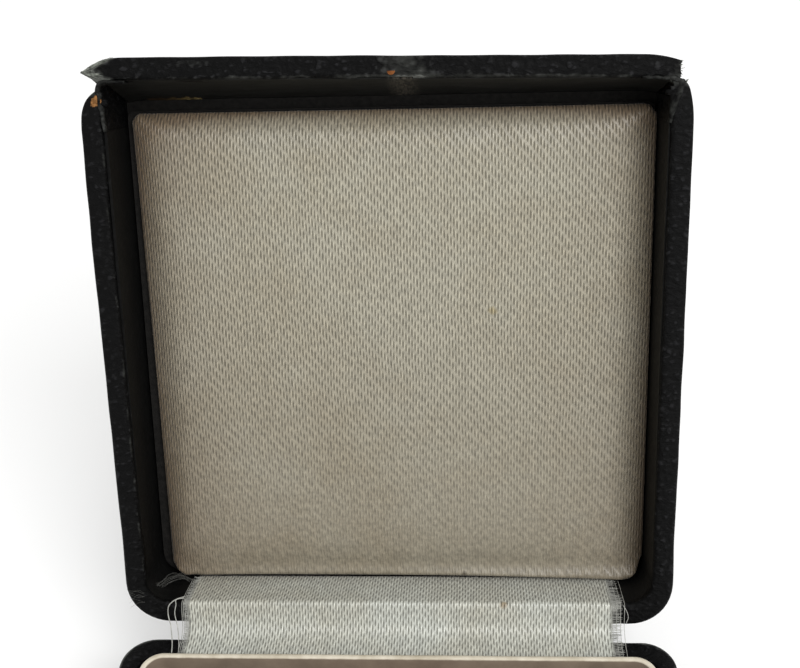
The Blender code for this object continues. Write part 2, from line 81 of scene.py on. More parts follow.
def local_box(node):
    """A lid node's box in the lid's frame, in millimetres."""
    back = LID_FRAME.inverted()
    item = frame["nodes"][node]
    spots = np.array([back @ item.matrix_world @ vertex.co for vertex in item.data.vertices]) / MM
    return spots.min(axis=0), spots.max(axis=0)


def base_box(node):
    low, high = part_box(node)
    return np.array(low) / MM, np.array(high) / MM


SKIN_LOW, SKIN_HIGH = local_box("lid_cover")
BASE_LOW, BASE_HIGH = base_box("base_cover")
COLLAR_LOW, COLLAR_HIGH = base_box("collar")
DISC_LOW, DISC_HIGH = base_box("medal_disc")
DRAPE_HIGH = base_box("medal_ribbon")[1]
RING_LOW, RING_HIGH = base_box("jump_ring")
BUTTON_Z = np.mean(base_box("push_button"), axis=0)[2]

HALF = SKIN_HIGH[0]
HINGE_BACK = -SKIN_HIGH[1]
RIM_LIFT = SKIN_LOW[2]
LID_DEPTH = SKIN_HIGH[2] - SKIN_LOW[2]
LID_LENGTH = -SKIN_LOW[1] - HINGE_BACK
REAR_CORNER = 6.5
BASE_REAR_CORNER = 4.8
FRONT_CORNER = 2.5
REAR_OVERHANG = 0.45
SKIN_TURN = 3.1
LEATHER = 0.42
BASE_LEATHER = 0.4
PAPER = 0.2
RIBBON_THICK = 0.2


def lid_spot(u, v, w):
    """A point in the lid's frame, in millimetres."""
    return (u, -(HINGE_BACK + v), RIM_LIFT + w)


def open_spot(u, v, w):
    """Where a point of the open lid stands in the case's frame, in millimetres."""
    return LID_FRAME @ (Vector(lid_spot(u, v, w)) * MM) / MM


# ---------------------------------------------------------------- numbers

def wave(x, y, z):
    return noise.noise(Vector((x, y, z)))


def bell(away, width):
    return math.exp(-(away / width) ** 2)


def clamp(value):
    return min(max(value, 0.0), 1.0)


# ---------------------------------------------------------------- meshes

def make(name, vertices, faces, material, body=None):
    """A smooth mesh object from points in millimetres; on the lid they are in the lid's frame."""
    mesh = bpy.data.meshes.new(name)
    mesh.from_pydata([Vector(point) * MM for point in vertices], [], faces)
    mesh.validate()
    item = bpy.data.objects.new(name, mesh)
    bpy.context.scene.collection.objects.link(item)
    mesh.materials.append(material)
    mesh.shade_smooth()
    if body == "lid":
        item.matrix_world = LID_FRAME
    if body:
        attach(item, body)
    return item


def grid(rows, wrap_rows=False, wrap_columns=False, first_cap=False, last_cap=False):
    """Vertices and quads of a grid of points, which may join up with itself, and caps on its end rows."""
    count = len(rows[0])
    vertices = [point for row in rows for point in row]
    faces = []
    for r in range(len(rows) if wrap_rows else len(rows) - 1):
        below, above = r * count, (r + 1) % len(rows) * count
        for c in range(count if wrap_columns else count - 1):
            after = (c + 1) % count
            faces.append((below + c, below + after, above + after, above + c))
    if first_cap:
        faces.append(tuple(range(count)))
    if last_cap:
        faces.append(tuple(range(len(vertices) - count, len(vertices))))
    return vertices, faces


def keep_faces(vertices, faces, wanted):
    """The faces for which wanted(x, y, z, face) of their middle is true."""
    return [face for face in faces if wanted(*np.mean([vertices[index] for index in face], axis=0), face)]


def drop_loose(item):
    shape = bmesh.new()
    shape.from_mesh(item.data)
    bmesh.ops.delete(shape, geom=[v for v in shape.verts if not v.link_faces], context="VERTS")
    shape.to_mesh(item.data)
    shape.free()


def face_outwards(item):
    shape = bmesh.new()
    shape.from_mesh(item.data)
    bmesh.ops.recalc_face_normals(shape, faces=shape.faces)
    shape.to_mesh(item.data)
    shape.free()


def thicken(item, thickness):
    """Give a sheet a thickness below its outer face."""
    step = item.modifiers.new("thickness", "SOLIDIFY")
    step.thickness = thickness * MM
    step.offset = -1.0


def set_attribute(item, name, values):
    """Numbers for a material to read: one a point, or three for the place on the cloth."""
    kind, field = ("FLOAT_VECTOR", "vector") if name == "cloth" else ("FLOAT", "value")
    layer = item.data.attributes.new(name, kind, "POINT")
    layer.data.foreach_set(field, np.ravel(values).astype(np.float32))


def dress(item, slot, node=None, thickness=0.0, **attributes):
    """Finish a sheet or shell: attributes, normals, thickness and the CAD node it stands for, which is
    hidden; slot is not used.
    """
    for name, values in attributes.items():
        set_attribute(item, name, values)
    drop_loose(item)
    face_outwards(item)
    if thickness:
        thicken(item, thickness)
    if node:
        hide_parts(node)


def arc(centre_x, centre_y, radius, start, steps):
    points = []
    for step in range(steps + 1):
        angle = math.radians(start + 90.0 * step / steps)
        points.append((centre_x + radius * math.cos(angle), centre_y + radius * math.sin(angle)))
    return points


def between(a, b, count):
    """Points strictly between two points."""
    return [tuple(np.array(a) + (np.array(b) - np.array(a)) * step / count) for step in range(1, count)]


def rounded_plan(side, front, rear, front_radius, rear_radius, inset=0.0, turns=10, run=150):
    """A rounded rectangle with the same number of points for every inset."""
    s, f, r = side - inset, front + inset, rear - inset
    rr = max(rear_radius - inset, 0.05)
    fr = max(front_radius - inset, 0.05)
    corners = [
        arc(s - rr, r - rr, rr, 0, turns),
        arc(-s + rr, r - rr, rr, 90, turns),
        arc(-s + fr, f + fr, fr, 180, turns),
        arc(s - fr, f + fr, fr, 270, turns),
    ]
    points = []
    for index, corner in enumerate(corners):
        points += corner
        points += between(corner[-1], corners[(index + 1) % 4][0], run)
    return points


def uneven(points, size, amount, seed=0.0):
    made = []
    for point in points:
        shift = noise.noise_vector(Vector(point) / size + Vector((seed, 0, 0))) * amount
        made.append(tuple(Vector(point) + shift))
    return made


def tube(path, radius, sides=6):
    """Vertices and faces of a closed round tube along a path, pointed a little at its ends."""
    rings = []
    last = None
    for index, here in enumerate(path):
        here = Vector(here)
        ahead = Vector(path[min(index + 1, len(path) - 1)]) - Vector(path[max(index - 1, 0)])
        ahead.normalize()
        side = ahead.orthogonal() if last is None else last - ahead * last.dot(ahead)
        side.normalize()
        last = side
        up = ahead.cross(side)
        thin = radius * (0.35 if index in (0, len(path) - 1) else 1.0)
        ring = []
        for step in range(sides):
            angle = math.tau * step / sides
            ring.append(tuple(here + (side * math.cos(angle) + up * math.sin(angle)) * thin))
        rings.append(ring)
    vertices, faces = grid(rings, wrap_columns=True, last_cap=True)
    return vertices, faces + [tuple(reversed(range(sides)))]


def curve_through(points, steps=6):
    """A smooth path through points."""
    spots = [Vector(point) for point in points]
    ends = [spots[0] * 2 - spots[1]] + spots + [spots[-1] * 2 - spots[-2]]
    path = []
    for a, b, c, d in zip(ends, ends[1:], ends[2:], ends[3:]):
        for step in range(steps):
            t = step / steps
            bend, twist = 2 * a - 5 * b + 4 * c - d, 3 * b - a - 3 * c + d
            path.append(0.5 * (2 * b + (c - a) * t + bend * t**2 + twist * t**3))
    path.append(spots[-1])
    return path


def many_tubes(paths, sides=5):
    """One mesh from several (path, radius) pairs."""
    vertices, faces = [], []
    for path, radius in paths:
        more, quads = tube(path, radius, sides)
        start = len(vertices)
        vertices += more
        faces += [tuple(start + index for index in face) for face in quads]
    return vertices, faces


# ---------------------------------------------------------------- material building

class Field:
    """A shader value that adds and multiplies like a number."""

    def __init__(self, paint, socket):
        self.paint = paint
        self.socket = socket

    def __add__(self, other):
        return self.paint.math("ADD", self, other)

    def __sub__(self, other):
        return self.paint.math("SUBTRACT", self, other)

    def __rsub__(self, other):
        return self.paint.math("SUBTRACT", other, self)

    def __mul__(self, other):
        return self.paint.math("MULTIPLY", self, other)

    def __truediv__(self, other):
        return self.paint.math("DIVIDE", self, other)

    def clamped(self):
        self.socket.node.use_clamp = True
        return self


class Paint:
    """A Principled material and short ways to build what feeds it."""

    def __init__(self, name, roughness=0.6, metallic=0.0, specular=0.5):
        self.material = bpy.data.materials.new(name)
        self.material.use_nodes = True
        self.tree = self.material.node_tree
        self.shader = self.tree.nodes["Principled BSDF"]
        self.set(Roughness=roughness, Metallic=metallic, Specular_IOR_Level=specular)

    def set(self, **values):
        for name, value in values.items():
            self.shader.inputs[name.replace("_", " ")].default_value = value

    def node(self, kind, **inputs):
        made = self.tree.nodes.new(kind)
        for name, value in inputs.items():
            self.feed(made.inputs[name.replace("_", " ")], value)
        return made

    def feed(self, socket, value):
        if isinstance(value, Field):
            self.tree.links.new(value.socket, socket)
        else:
            socket.default_value = value

    def math(self, operation, *values):
        made = self.tree.nodes.new("ShaderNodeMath")
        made.operation = operation
        for socket, value in zip(made.inputs, values):
            self.feed(socket, value)
        return Field(self, made.outputs[0])

    def attribute(self, name, output="Fac"):
        made = self.tree.nodes.new("ShaderNodeAttribute")
        made.attribute_name = name
        return Field(self, made.outputs[output])

    def spot(self):
        return Field(self, self.tree.nodes.new("ShaderNodeTexCoord").outputs["Object"])

    def split(self, vector):
        return [Field(self, output) for output in self.node("ShaderNodeSeparateXYZ", Vector=vector).outputs]

    def stretch(self, vector, scale):
        return Field(self, self.node("ShaderNodeMapping", Vector=vector, Scale=scale).outputs[0])

    def noise(self, size, vector=None, detail=4.0, roughness=0.55, distortion=0.0):
        """Noise whose features are about size millimetres across."""
        made = self.node(
            "ShaderNodeTexNoise", Vector=vector or self.spot(), Scale=1.0 / (size * MM), Detail=detail,
            Roughness=roughness, Distortion=distortion,
        )
        return Field(self, made.outputs["Fac"])

    def cells(self, size, smoothness=0.3):
        """Distance from the middles of soft cells about size millimetres across."""
        made = self.tree.nodes.new("ShaderNodeTexVoronoi")
        made.feature = "SMOOTH_F1"
        self.feed(made.inputs["Vector"], self.spot())
        self.feed(made.inputs["Scale"], 1.0 / (size * MM))
        self.feed(made.inputs["Smoothness"], smoothness)
        return Field(self, made.outputs["Distance"])

    def ramp(self, value, *stops, steps=False):
        """Blend, or step, between (position, colour) stops; a colour may be one grey number."""
        made = self.node("ShaderNodeValToRGB", Fac=value)
        band = made.color_ramp
        if steps:
            band.interpolation = "CONSTANT"
        while len(band.elements) < len(stops):
            band.elements.new(0.5)
        for element, (position, colour) in zip(band.elements, stops):
            element.position = position
            element.color = (colour, colour, colour, 1) if isinstance(colour, float) else (*colour, 1)
        return Field(self, made.outputs["Color"])

    def mix(self, factor, a, b, blend="MIX"):
        made = self.tree.nodes.new("ShaderNodeMix")
        made.data_type = "RGBA"
        made.blend_type = blend
        self.feed(made.inputs["Factor"], factor)
        for socket, value in zip([s for s in made.inputs if s.type == "RGBA"], (a, b)):
            self.feed(socket, (*value, 1.0) if isinstance(value, tuple) else value)
        return Field(self, next(output for output in made.outputs if output.type == "RGBA"))

    def multiply(self, a, b):
        """Two colours multiplied, such as a tint over a shade."""
        return self.mix(1.0, a, b, "MULTIPLY")

    def ellipse(self, x, y, half_x, half_y):
        """1 in the middle of an ellipse, 0 from its edge outwards."""
        across, along = x / half_x, y / half_y
        return (1.0 - (across * across + along * along)).clamped()

    def colour(self, value):
        self.feed(self.shader.inputs["Base Color"], value)

    def rough(self, value):
        self.feed(self.shader.inputs["Roughness"], value)

    def bumps(self, *layers):
        """Stack bump layers of (height, depth in millimetres), coarse to fine."""
        normal = self.shader.inputs["Normal"]
        for height, depth in reversed(layers):
            made = self.node("ShaderNodeBump", Height=height, Distance=depth * MM, Strength=1.0)
            self.tree.links.new(made.outputs["Normal"], normal)
            normal = made.inputs["Normal"]


# ---------------------------------------------------------------- materials

def leatherette():
    """Black crinkled leathercloth with a painted highlight on its crests, grey where it is rubbed, bare wood
    where it is torn.
    """
    paint = Paint("leatherette", 0.55, specular=0.07)
    pulled = paint.stretch(paint.spot(), (0.5, 1.0, 1.0))
    folds = paint.noise(1.3, pulled, detail=5.0, roughness=0.62, distortion=1.6)
    pebbles = paint.cells(0.9)
    fine = paint.noise(0.2, detail=3.0)
    crests = folds - pebbles * 0.5
    regions = paint.noise(8.0, detail=3.0)
    # Painted highlight: the grain's crests, in patches, are coloured lighter where light would catch them.
    crest_highlight = paint.ramp(crests, (0.34, 0.0), (0.46, 1.0)) * paint.ramp(regions, (0.38, 0.4), (0.62, 1.0))
    wear = paint.attribute("wear")
    patch = paint.noise(5.0, detail=5.0, roughness=0.7) * 0.5
    rubbed = wear + (crests * 0.5 + patch)
    amount = paint.ramp(rubbed, (0.62, 0.0), (0.95, 0.35), (1.35, 1.0))
    skin = paint.mix(crest_highlight, (0.0018, 0.0018, 0.0019), (0.012, 0.012, 0.013))
    skin = paint.mix(amount, skin, (0.085, 0.088, 0.080))
    fibres = paint.noise(0.45, detail=3.0)
    grain = paint.ramp(fibres, (0.35, (0.10, 0.045, 0.014)), (0.7, (0.36, 0.17, 0.06)))
    ragged = paint.attribute("bare") + (paint.noise(0.7, detail=4.0) * 0.9 - 0.45)
    paint.colour(paint.mix(paint.ramp(ragged, (0.50, 0.0), (0.62, 1.0)), skin, grain))
    paint.rough(amount * 0.3 + 0.5)
    paint.bumps((crests, 0.32), (fine, 0.04))
    return paint.material


def mottled(name, surface, mottle, dark, light, grain):
    """One blotchy colour with a fine grain.

    surface is (roughness, specular), mottle is (size, detail, where it is darkest) and grain is
    (size, detail, depth).
    """
    roughness, specular = surface
    size, detail, darkest = mottle
    paint = Paint(name, roughness, specular=specular)
    paint.colour(paint.ramp(paint.noise(size, detail=detail), (darkest, dark), (0.7, light)))
    size, detail, depth = grain
    paint.bumps((paint.noise(size, detail=detail), depth))
    return paint.material


def lining_paper():
    paint = Paint("lining_paper", 0.5, specular=0.06)
    streaks = paint.noise(1.0, paint.stretch(paint.spot(), (0.25, 2.0, 1.0)), detail=6.0, roughness=0.7)
    stops = (0.35, (0.0030, 0.0030, 0.0029)), (0.62, (0.0062, 0.0062, 0.0060)), (0.9, (0.03, 0.03, 0.028))
    paint.colour(paint.ramp(streaks, *stops))
    paint.rough(streaks * 0.3 + 0.3)
    paint.bumps((paint.noise(0.9, detail=5.0), 0.05))
    return paint.material


def front_lining_paper(flake_left, flake_right, flake_depth):
    """The front's lining: rubbed grey by the catch at its middle, and torn off the wood along its foot."""
    paint = Paint("front_lining_paper", 0.55, specular=0.07)
    x, _, z = paint.split(paint.spot())
    u = x / MM
    w = z / MM - RIM_LIFT
    streaks = paint.noise(1.2, paint.stretch(paint.spot(), (0.3, 1.5, 1.5)), detail=6.0, roughness=0.7)
    black = paint.ramp(streaks, (0.3, (0.0045, 0.0045, 0.0040)), (0.8, (0.018, 0.018, 0.0165)))
    inside = paint.math("GREATER_THAN", u, flake_left) * paint.math("LESS_THAN", u, flake_right)
    low = w - flake_depth
    flakes = low + (paint.noise(1.1, detail=5.0, roughness=0.8) * 5.0 - 2.9)
    bare = inside * paint.ramp(flakes, (0.0, 0.0), (0.25, 1.0))
    fresh = (u - flake_left) / (flake_right - flake_left)
    fresh = fresh * (paint.noise(0.6, detail=3.0) * 2.0 - 0.3)
    stops = (0.2, (0.035, 0.022, 0.012)), (0.6, (0.16, 0.115, 0.045)), (0.9, (0.50, 0.40, 0.20))
    timber = paint.ramp(fresh, *stops)
    rub_u = (u - 2.6) / 2.4
    rub = (1.0 - rub_u * rub_u).clamped()
    scratch = paint.noise(0.35, paint.stretch(paint.spot(), (1.6, 0.4, 0.25)), detail=4.0)
    worn = rub * paint.ramp(scratch, (0.4, 0.0), (0.62, 0.7))
    paint.colour(paint.mix(bare, paint.mix(worn, black, (0.085, 0.075, 0.06)), timber))
    paint.bumps((streaks, 0.05), (bare, -0.12))
    return paint.material


def pine():
    """Thin softwood board, gone orange with age."""
    paint = Paint("pine", 0.7, specular=0.3)
    along = paint.stretch(paint.spot(), (0.12, 1.0, 1.0))
    rings = paint.noise(1.4, along, detail=6.0, roughness=0.6, distortion=1.2)
    stops = (0.30, (0.16, 0.070, 0.020)), (0.55, (0.40, 0.19, 0.055)), (0.8, (0.55, 0.33, 0.12))
    paint.colour(paint.ramp(rings, *stops))
    paint.bumps((paint.noise(0.4, along, detail=5.0), 0.06))
    return paint.material


def satin(name, light, dark, gloss, weave, stains=(), smooth_end=None):
    """Satin: columns of long floats with painted shade in a slit between neighbours and a painted highlight
    on each float's crest, each column a step past the last.

    weave is the columns' pitch and the floats' repeat in millimetres, and the step as a share of the repeat.
    smooth_end is where along the cloth, in millimetres, it is rubbed smooth and where it is still whole.
    """
    pitch, repeat, shift = weave
    paint = Paint(name, 0.42, specular=0.5)
    across, along, _ = paint.split(paint.attribute("cloth", "Vector"))
    waver = paint.noise(9.0, detail=2.0) * (0.5 * MM) - 0.25 * MM
    column = (across + waver) / (pitch * MM)
    number = paint.math("FLOOR", column)
    side = paint.math("FRACT", column) - 0.5
    jitter = paint.noise(0.7, detail=1.0) * 0.16
    place = along / (repeat * MM) + jitter
    end = paint.math("FRACT", number * shift + place) - 0.5
    # The slit is a thin ellipse; the float's crest is a like one, midway between two slits side by side.
    slit = paint.ellipse(side, end, 0.31, 0.45)
    beside = column - 0.5
    crest_side = paint.math("FRACT", beside) - 0.5
    crest_place = place + 0.5 * shift
    crest_end = paint.math("FLOOR", beside) * shift + crest_place
    crest = paint.ellipse(crest_side, paint.math("FRACT", crest_end) - 0.5, 0.33, 0.42)
    thread = paint.math("SINE", across * (math.tau / (0.11 * MM)))
    height = thread * 0.05 + (crest - slit)
    if smooth_end:
        start, whole = smooth_end
        share = ((along - start * MM) / ((whole - start) * MM)).clamped()
        share = share * 0.85 + 0.15
        slit = slit * share
        crest = crest * share
    tint = paint.noise(14.0, detail=4.0, roughness=0.6)
    each = paint.noise(0.8, detail=1.0)
    # Painted shade: the slits take the dark colour, as the shade between the floats.
    shade = paint.mix(paint.ramp(slit, (0.0, 0.0), (0.6, 0.85)), light, dark)
    # Painted highlight: each float's crest is lightened to a brighter copy of the light colour.
    shade = paint.mix(crest * 0.6, shade, tuple(min(1.6 * part, 0.9) for part in light))
    aged = paint.ramp(tint, (0.35, (0.92, 0.89, 0.85)), (0.6, (1.0, 1.0, 1.0)))
    shade = paint.multiply(shade, aged)
    shade = paint.multiply(shade, paint.ramp(each, (0.3, 0.8), (0.7, 1.1)))
    # Painted shade and discoloration: an attribute darkens and browns the cloth, as shade along the pad's
    # edges and where the ribbon comes out from under the pad, darker towards the hinge, and as discoloration
    # at the pad's front corners.
    soil = paint.attribute("soil")
    shade = paint.mix(soil, shade, paint.multiply(shade, (0.46, 0.36, 0.3)))
    for centre_x, centre_y, radius, colour in stains:
        dx = (across - centre_x * MM) / (radius * MM)
        dy = (along - centre_y * MM) / (radius * MM)
        away = dx * dx + dy * dy
        uneven_edge = paint.noise(1.3, detail=4.0) * 1.2 + away
        mask = paint.ramp(uneven_edge, (0.45, 1.0), (1.3, 0.0))
        shade = paint.mix(mask, shade, paint.multiply(shade, colour))
    paint.colour(shade)
    paint.rough(paint.ramp(slit, (0.0, gloss), (0.5, 0.8)))
    paint.bumps((height, 0.05), (paint.noise(0.12, detail=2.0), 0.010))
    paint.set(Sheen_Weight=0.12, Sheen_Roughness=0.4)
    return paint.material


def thread_fibre(name, dark, light):
    return mottled(name, (0.5, 0.3), (0.8, 4.0, 0.3), dark, light, (0.05, 2.0, 0.01))


def cream_card():
    """Card with a pale cut edge along its top, and below it a face painted a blotchy brown as the shade it
    stands in.
    """
    paint = Paint("cream_card", 0.6, specular=0.35)
    _, _, z = paint.split(paint.spot())
    top = (z - (COLLAR_HIGH[2] - 0.35) * MM) / (0.2 * MM)
    edge = top + (paint.noise(1.5, detail=5.0) * 0.9 - 0.45)
    pale = paint.ramp(paint.noise(3.0, detail=6.0), (0.3, (0.42, 0.37, 0.28)), (0.7, (0.62, 0.57, 0.47)))
    # Painted shade: the cream card's face below its cut edge is coloured dark brown, as it stands in shade.
    shade_blotches = paint.noise(4.0, detail=5.0)
    painted_face_shade = paint.ramp(shade_blotches, (0.3, (0.145, 0.112, 0.084)), (0.7, (0.205, 0.162, 0.122)))
    paint.colour(paint.mix(paint.ramp(edge, (0.0, 0.0), (1.0, 1.0)), painted_face_shade, pale))
    paint.bumps((paint.noise(0.6, detail=4.0), 0.03))
    return paint.material


def flock():
    paint = Paint("flock", 0.95, specular=0.15)
    nap = paint.noise(0.22, detail=4.0, roughness=0.8)
    brushed = paint.noise(9.0, detail=3.0, distortion=1.0)
    colour = paint.mix(nap, (0.20, 0.165, 0.125), (0.40, 0.35, 0.28))
    paint.colour(paint.multiply(colour, paint.ramp(brushed, (0.35, 0.72), (0.65, 1.1))))
    paint.bumps((nap, 0.10))
    paint.set(Sheen_Weight=0.5, Sheen_Roughness=0.4)
    return paint.material


def struck_bronze():
    """Toned bronze: brown in the hollows, brighter where it has been handled."""
    paint = Paint("struck_bronze", 0.35, 1.0)
    toned = paint.noise(4.0, detail=6.0, roughness=0.65)
    high = paint.attribute("wear")
    base = paint.ramp(toned, (0.3, (0.12, 0.055, 0.022)), (0.7, (0.27, 0.135, 0.055)))
    paint.colour(paint.mix(high, base, (0.62, 0.37, 0.17)))
    paint.rough(high * -0.16 + 0.44)
    paint.bumps((paint.noise(0.35, detail=4.0), 0.015))
    return paint.material


def old_metal(name, dark, bright, roughness):
    paint = Paint(name, roughness, 1.0)
    tarnish = paint.noise(1.6, detail=6.0, roughness=0.7)
    paint.colour(paint.ramp(tarnish, (0.35, dark), (0.62, bright)))
    paint.rough(tarnish * -0.3 + (roughness + 0.18))
    paint.bumps((paint.noise(0.25, paint.stretch(paint.spot(), (3.0, 0.4, 1.0))), 0.01))
    return paint.material


def striped_ribbon():
    """Ribbed medal ribbon: plain wine and cream stripes and a fine weft rib."""
    paint = Paint("striped_ribbon", 0.5, specular=0.4)
    across, along, _ = paint.split(paint.attribute("cloth", "Vector"))
    place = paint.math("ABSOLUTE", across) / (17.5 * MM)
    wine, cream, navy = (0.16, 0.012, 0.018), (0.55, 0.50, 0.38), (0.012, 0.020, 0.07)
    stops = ((0.0, wine), (0.14, cream), (0.22, wine), (0.52, cream), (0.60, navy), (0.92, cream))
    bands = paint.ramp(place, *stops, steps=True)
    rib = paint.math("SINE", along * (math.tau / (0.42 * MM)))
    warp = paint.math("SINE", across * (math.tau / (0.16 * MM)))
    weave = rib + warp * 0.35
    moire = paint.noise(3.0, paint.stretch(paint.spot(), (0.35, 1.4, 1.0)), detail=3.0, distortion=1.5)
    paint.colour(paint.multiply(bands, paint.ramp(moire, (0.35, 0.75), (0.65, 1.15))))
    paint.rough(paint.ramp(moire, (0.35, 0.62), (0.65, 0.36)))
    paint.bumps((weave, 0.035))
    return paint.material


# ---------------------------------------------------------------- lid

SIDE_BOW_LEFT = 0.45
SIDE_BOW_RIGHT = 0.2
FRONT_LEFT = 85.7
FRONT_RIGHT = 84.3
FRONT_FOOT = 82.0
FRONT_ROUNDING = 6.5
SPLAY_DEPTH = 12.0
TORN_V = 80.6
BEAK_OFFSET = 1.15
BEAK_REACH = 41.6
BLUNT_REACH = 40.1
LEFT_DROP = 1.25
RIGHT_DROP = 1.7
LID_TOP_BAND = 1.1
LID_EDGE = 1.0
SLOT_HALF = 3.9
SHARP_ANGLE = 40
LEFT_FOLD = (
    (-35.6, 82.1), (-37.6, 82.1), (-38.7, 81.8), (-39.1, 81.0), (-39.0, 79.6), (-38.95, 77.2), (-38.95, 75.4),
)
RIGHT_FOLD = (
    (35.0, 81.3), (37.0, 81.1), (38.7, 80.8), (39.5, 80.0), (39.2, 78.7), (38.95, 77.0), (38.95, 75.2),
)


def front_v(u, w):
    """The leaning front's outer face. It leans further out at the left."""
    rim = FRONT_LEFT + (FRONT_RIGHT - FRONT_LEFT) * (u + HALF) / (2 * HALF)
    rounding = max(abs(u) - (HALF - FRONT_ROUNDING), 0.0) / FRONT_ROUNDING
    drop = LEFT_DROP if u < 0 else RIGHT_DROP
    return FRONT_FOOT + (rim - FRONT_FOOT) * (1.0 - w / SPLAY_DEPTH) - drop * rounding**2


def wear_at(u, v, inset, w):
    """How rubbed the lid's skin is: on the rim's inner edge, outer edges and near the torn corners."""
    inner_edge = bell(inset - 2.9, 0.13) * (1.0 if w < 0.6 else 0.0)
    side = 0.6 if u < 0 else 0.25
    broken = 0.55 + 0.9 * wave(u * 0.12, v * 0.3, 3.0)
    outer_edge = bell(inset - 0.1, 0.3) * bell(w, 0.8) * 0.3
    torn = 0.45 * bell(v - TORN_V, 0.9) if v > 70 else 0.0
    crown = 0.45 * bell(w - LID_DEPTH + 0.3, 0.6) * bell(inset - 0.3, 0.6)
    return side * inner_edge * max(broken, 0.0) + outer_edge * max(broken, 0.0) + torn + crown


def bare_at(u, v, w):
    """Where the left side wall's end shows bare wood."""
    return bell(u + 40.0, 1.2) * bell(v - 79.6, 0.95) if w < 1.0 else 0.0


def lid_skin_profile():
    """(inset, w) from inside the rim, over it, down the side, over the top's edge and across the top."""
    profile = [(3.10, 1.3), (3.10, 0.7), (3.08, 0.35), (2.98, 0.14), (2.8, 0.03)]
    profile += [(2.8 - 0.22 * step, 0.0 - 0.05 * math.sin(math.pi * step / 10)) for step in range(1, 10)]
    profile += [(0.6, 0.0), (0.35, 0.05), (0.15, 0.18), (0.03, 0.4), (0.0, 0.7)]
    profile += [(0.0, 0.7 + 0.5 * step) for step in range(1, 24)]
    profile += [(LID_EDGE - x, LID_DEPTH + y) for x, y in arc(0.0, -LID_EDGE, LID_EDGE, 0, 6)]
    profile += [(2.2 + 1.3 * step, LID_DEPTH) for step in range(30)]
    return profile


def overhang(inset):
    """How far the skin's outer face, and less and less what is inside it, stands out at the hinge side."""
    return REAR_OVERHANG * max(1.0 - inset / SKIN_TURN, 0.0)


def side_end(x, y, w, inset):
    """A point of the lid's skin: the old side walls bow out, and their torn ends draw in near the rim."""
    v = -y - HINGE_BACK
    bow = SIDE_BOW_LEFT if x < 0 else SIDE_BOW_RIGHT
    bow *= clamp((v - 15.0) / 45.0) * (1.0 - 0.5 * w / LID_DEPTH)
    if v > 75.0 and w < LID_DEPTH - LID_TOP_BAND:
        bow -= 0.55 * ((v - 75.0) / 4.3) ** 2 * bell(w, 9.0)
    if x < 0 and v > 77.5 and w < LID_DEPTH - LID_TOP_BAND:
        bow -= 0.32 * ((v - 77.5) / 2.0) ** 2 * bell(w, 5.0)
    if bow < 0.0:
        bow *= max(1.0 - inset / 2.9, 0.0)
    if abs(x) > HALF - 4.0 and v < LID_LENGTH:
        x += bow * math.copysign(1.0, x)
    return (x, y, RIM_LIFT + w)


def torn_line(u, w):
    """Where a side wall's skin ends in a tear beside the front."""
    return TORN_V + 1.2 * w / LID_DEPTH + 0.35 * wave(u * 1.1, w * 0.9, 2.0)


def build_lid_skin(black):
    """Leatherette over the lid's sides and top, torn through at both front corners."""
    profile = lid_skin_profile()
    front = -(HINGE_BACK + LID_LENGTH)
    rows, wear, bare = [], [], []
    for inset, w in profile:
        rear = -HINGE_BACK + overhang(inset)
        plan = rounded_plan(HALF, front, rear, FRONT_CORNER, REAR_CORNER, inset)
        row = [side_end(x, y, w, inset) for x, y in plan]
        rows.append(uneven(row, 6.0, 0.10, 4.0))
        wear += [wear_at(x, -y - HINGE_BACK, inset, w) for x, y in plan]
        bare += [bare_at(x, -y - HINGE_BACK, w) for x, y in plan]
    vertices, faces = grid(rows, wrap_columns=True, last_cap=True)

    def wanted(x, y, z, face):
        v, w = -y - HINGE_BACK, z - RIM_LIFT
        aside = HALF - abs(x)
        inside_mouth = (v > TORN_V - 4.5 and aside > 3.6) or (v > TORN_V - 0.9 and aside > 2.95)
        return len(face) > 4 or w > LID_DEPTH - LID_TOP_BAND or (v < torn_line(x, w) and not inside_mouth)

    skin = make("lid_skin", vertices, keep_faces(vertices, faces, wanted), black, "lid")
    dress(skin, "leatherette", "lid_cover", LEATHER, wear=wear, bare=bare)


def front_end(side, offset, w):
    """How far the front's skin reaches: a beak at the left, a blunt torn end at the right."""
    ragged = wave(w * 1.3, side * 7.0, offset * 2.6)
    if side > 0:
        return BLUNT_REACH + 0.35 * ragged + 1.2 * w / SPLAY_DEPTH - 0.9 * max(offset - 2.4, 0.0)
    if offset < BEAK_OFFSET:
        point = BEAK_REACH - (BEAK_OFFSET - offset) * 3.3
    else:
        point = BEAK_REACH - (offset - BEAK_OFFSET) * 1.02
    return point + 0.15 * ragged + 1.6 * min(w / SPLAY_DEPTH, 1.0)


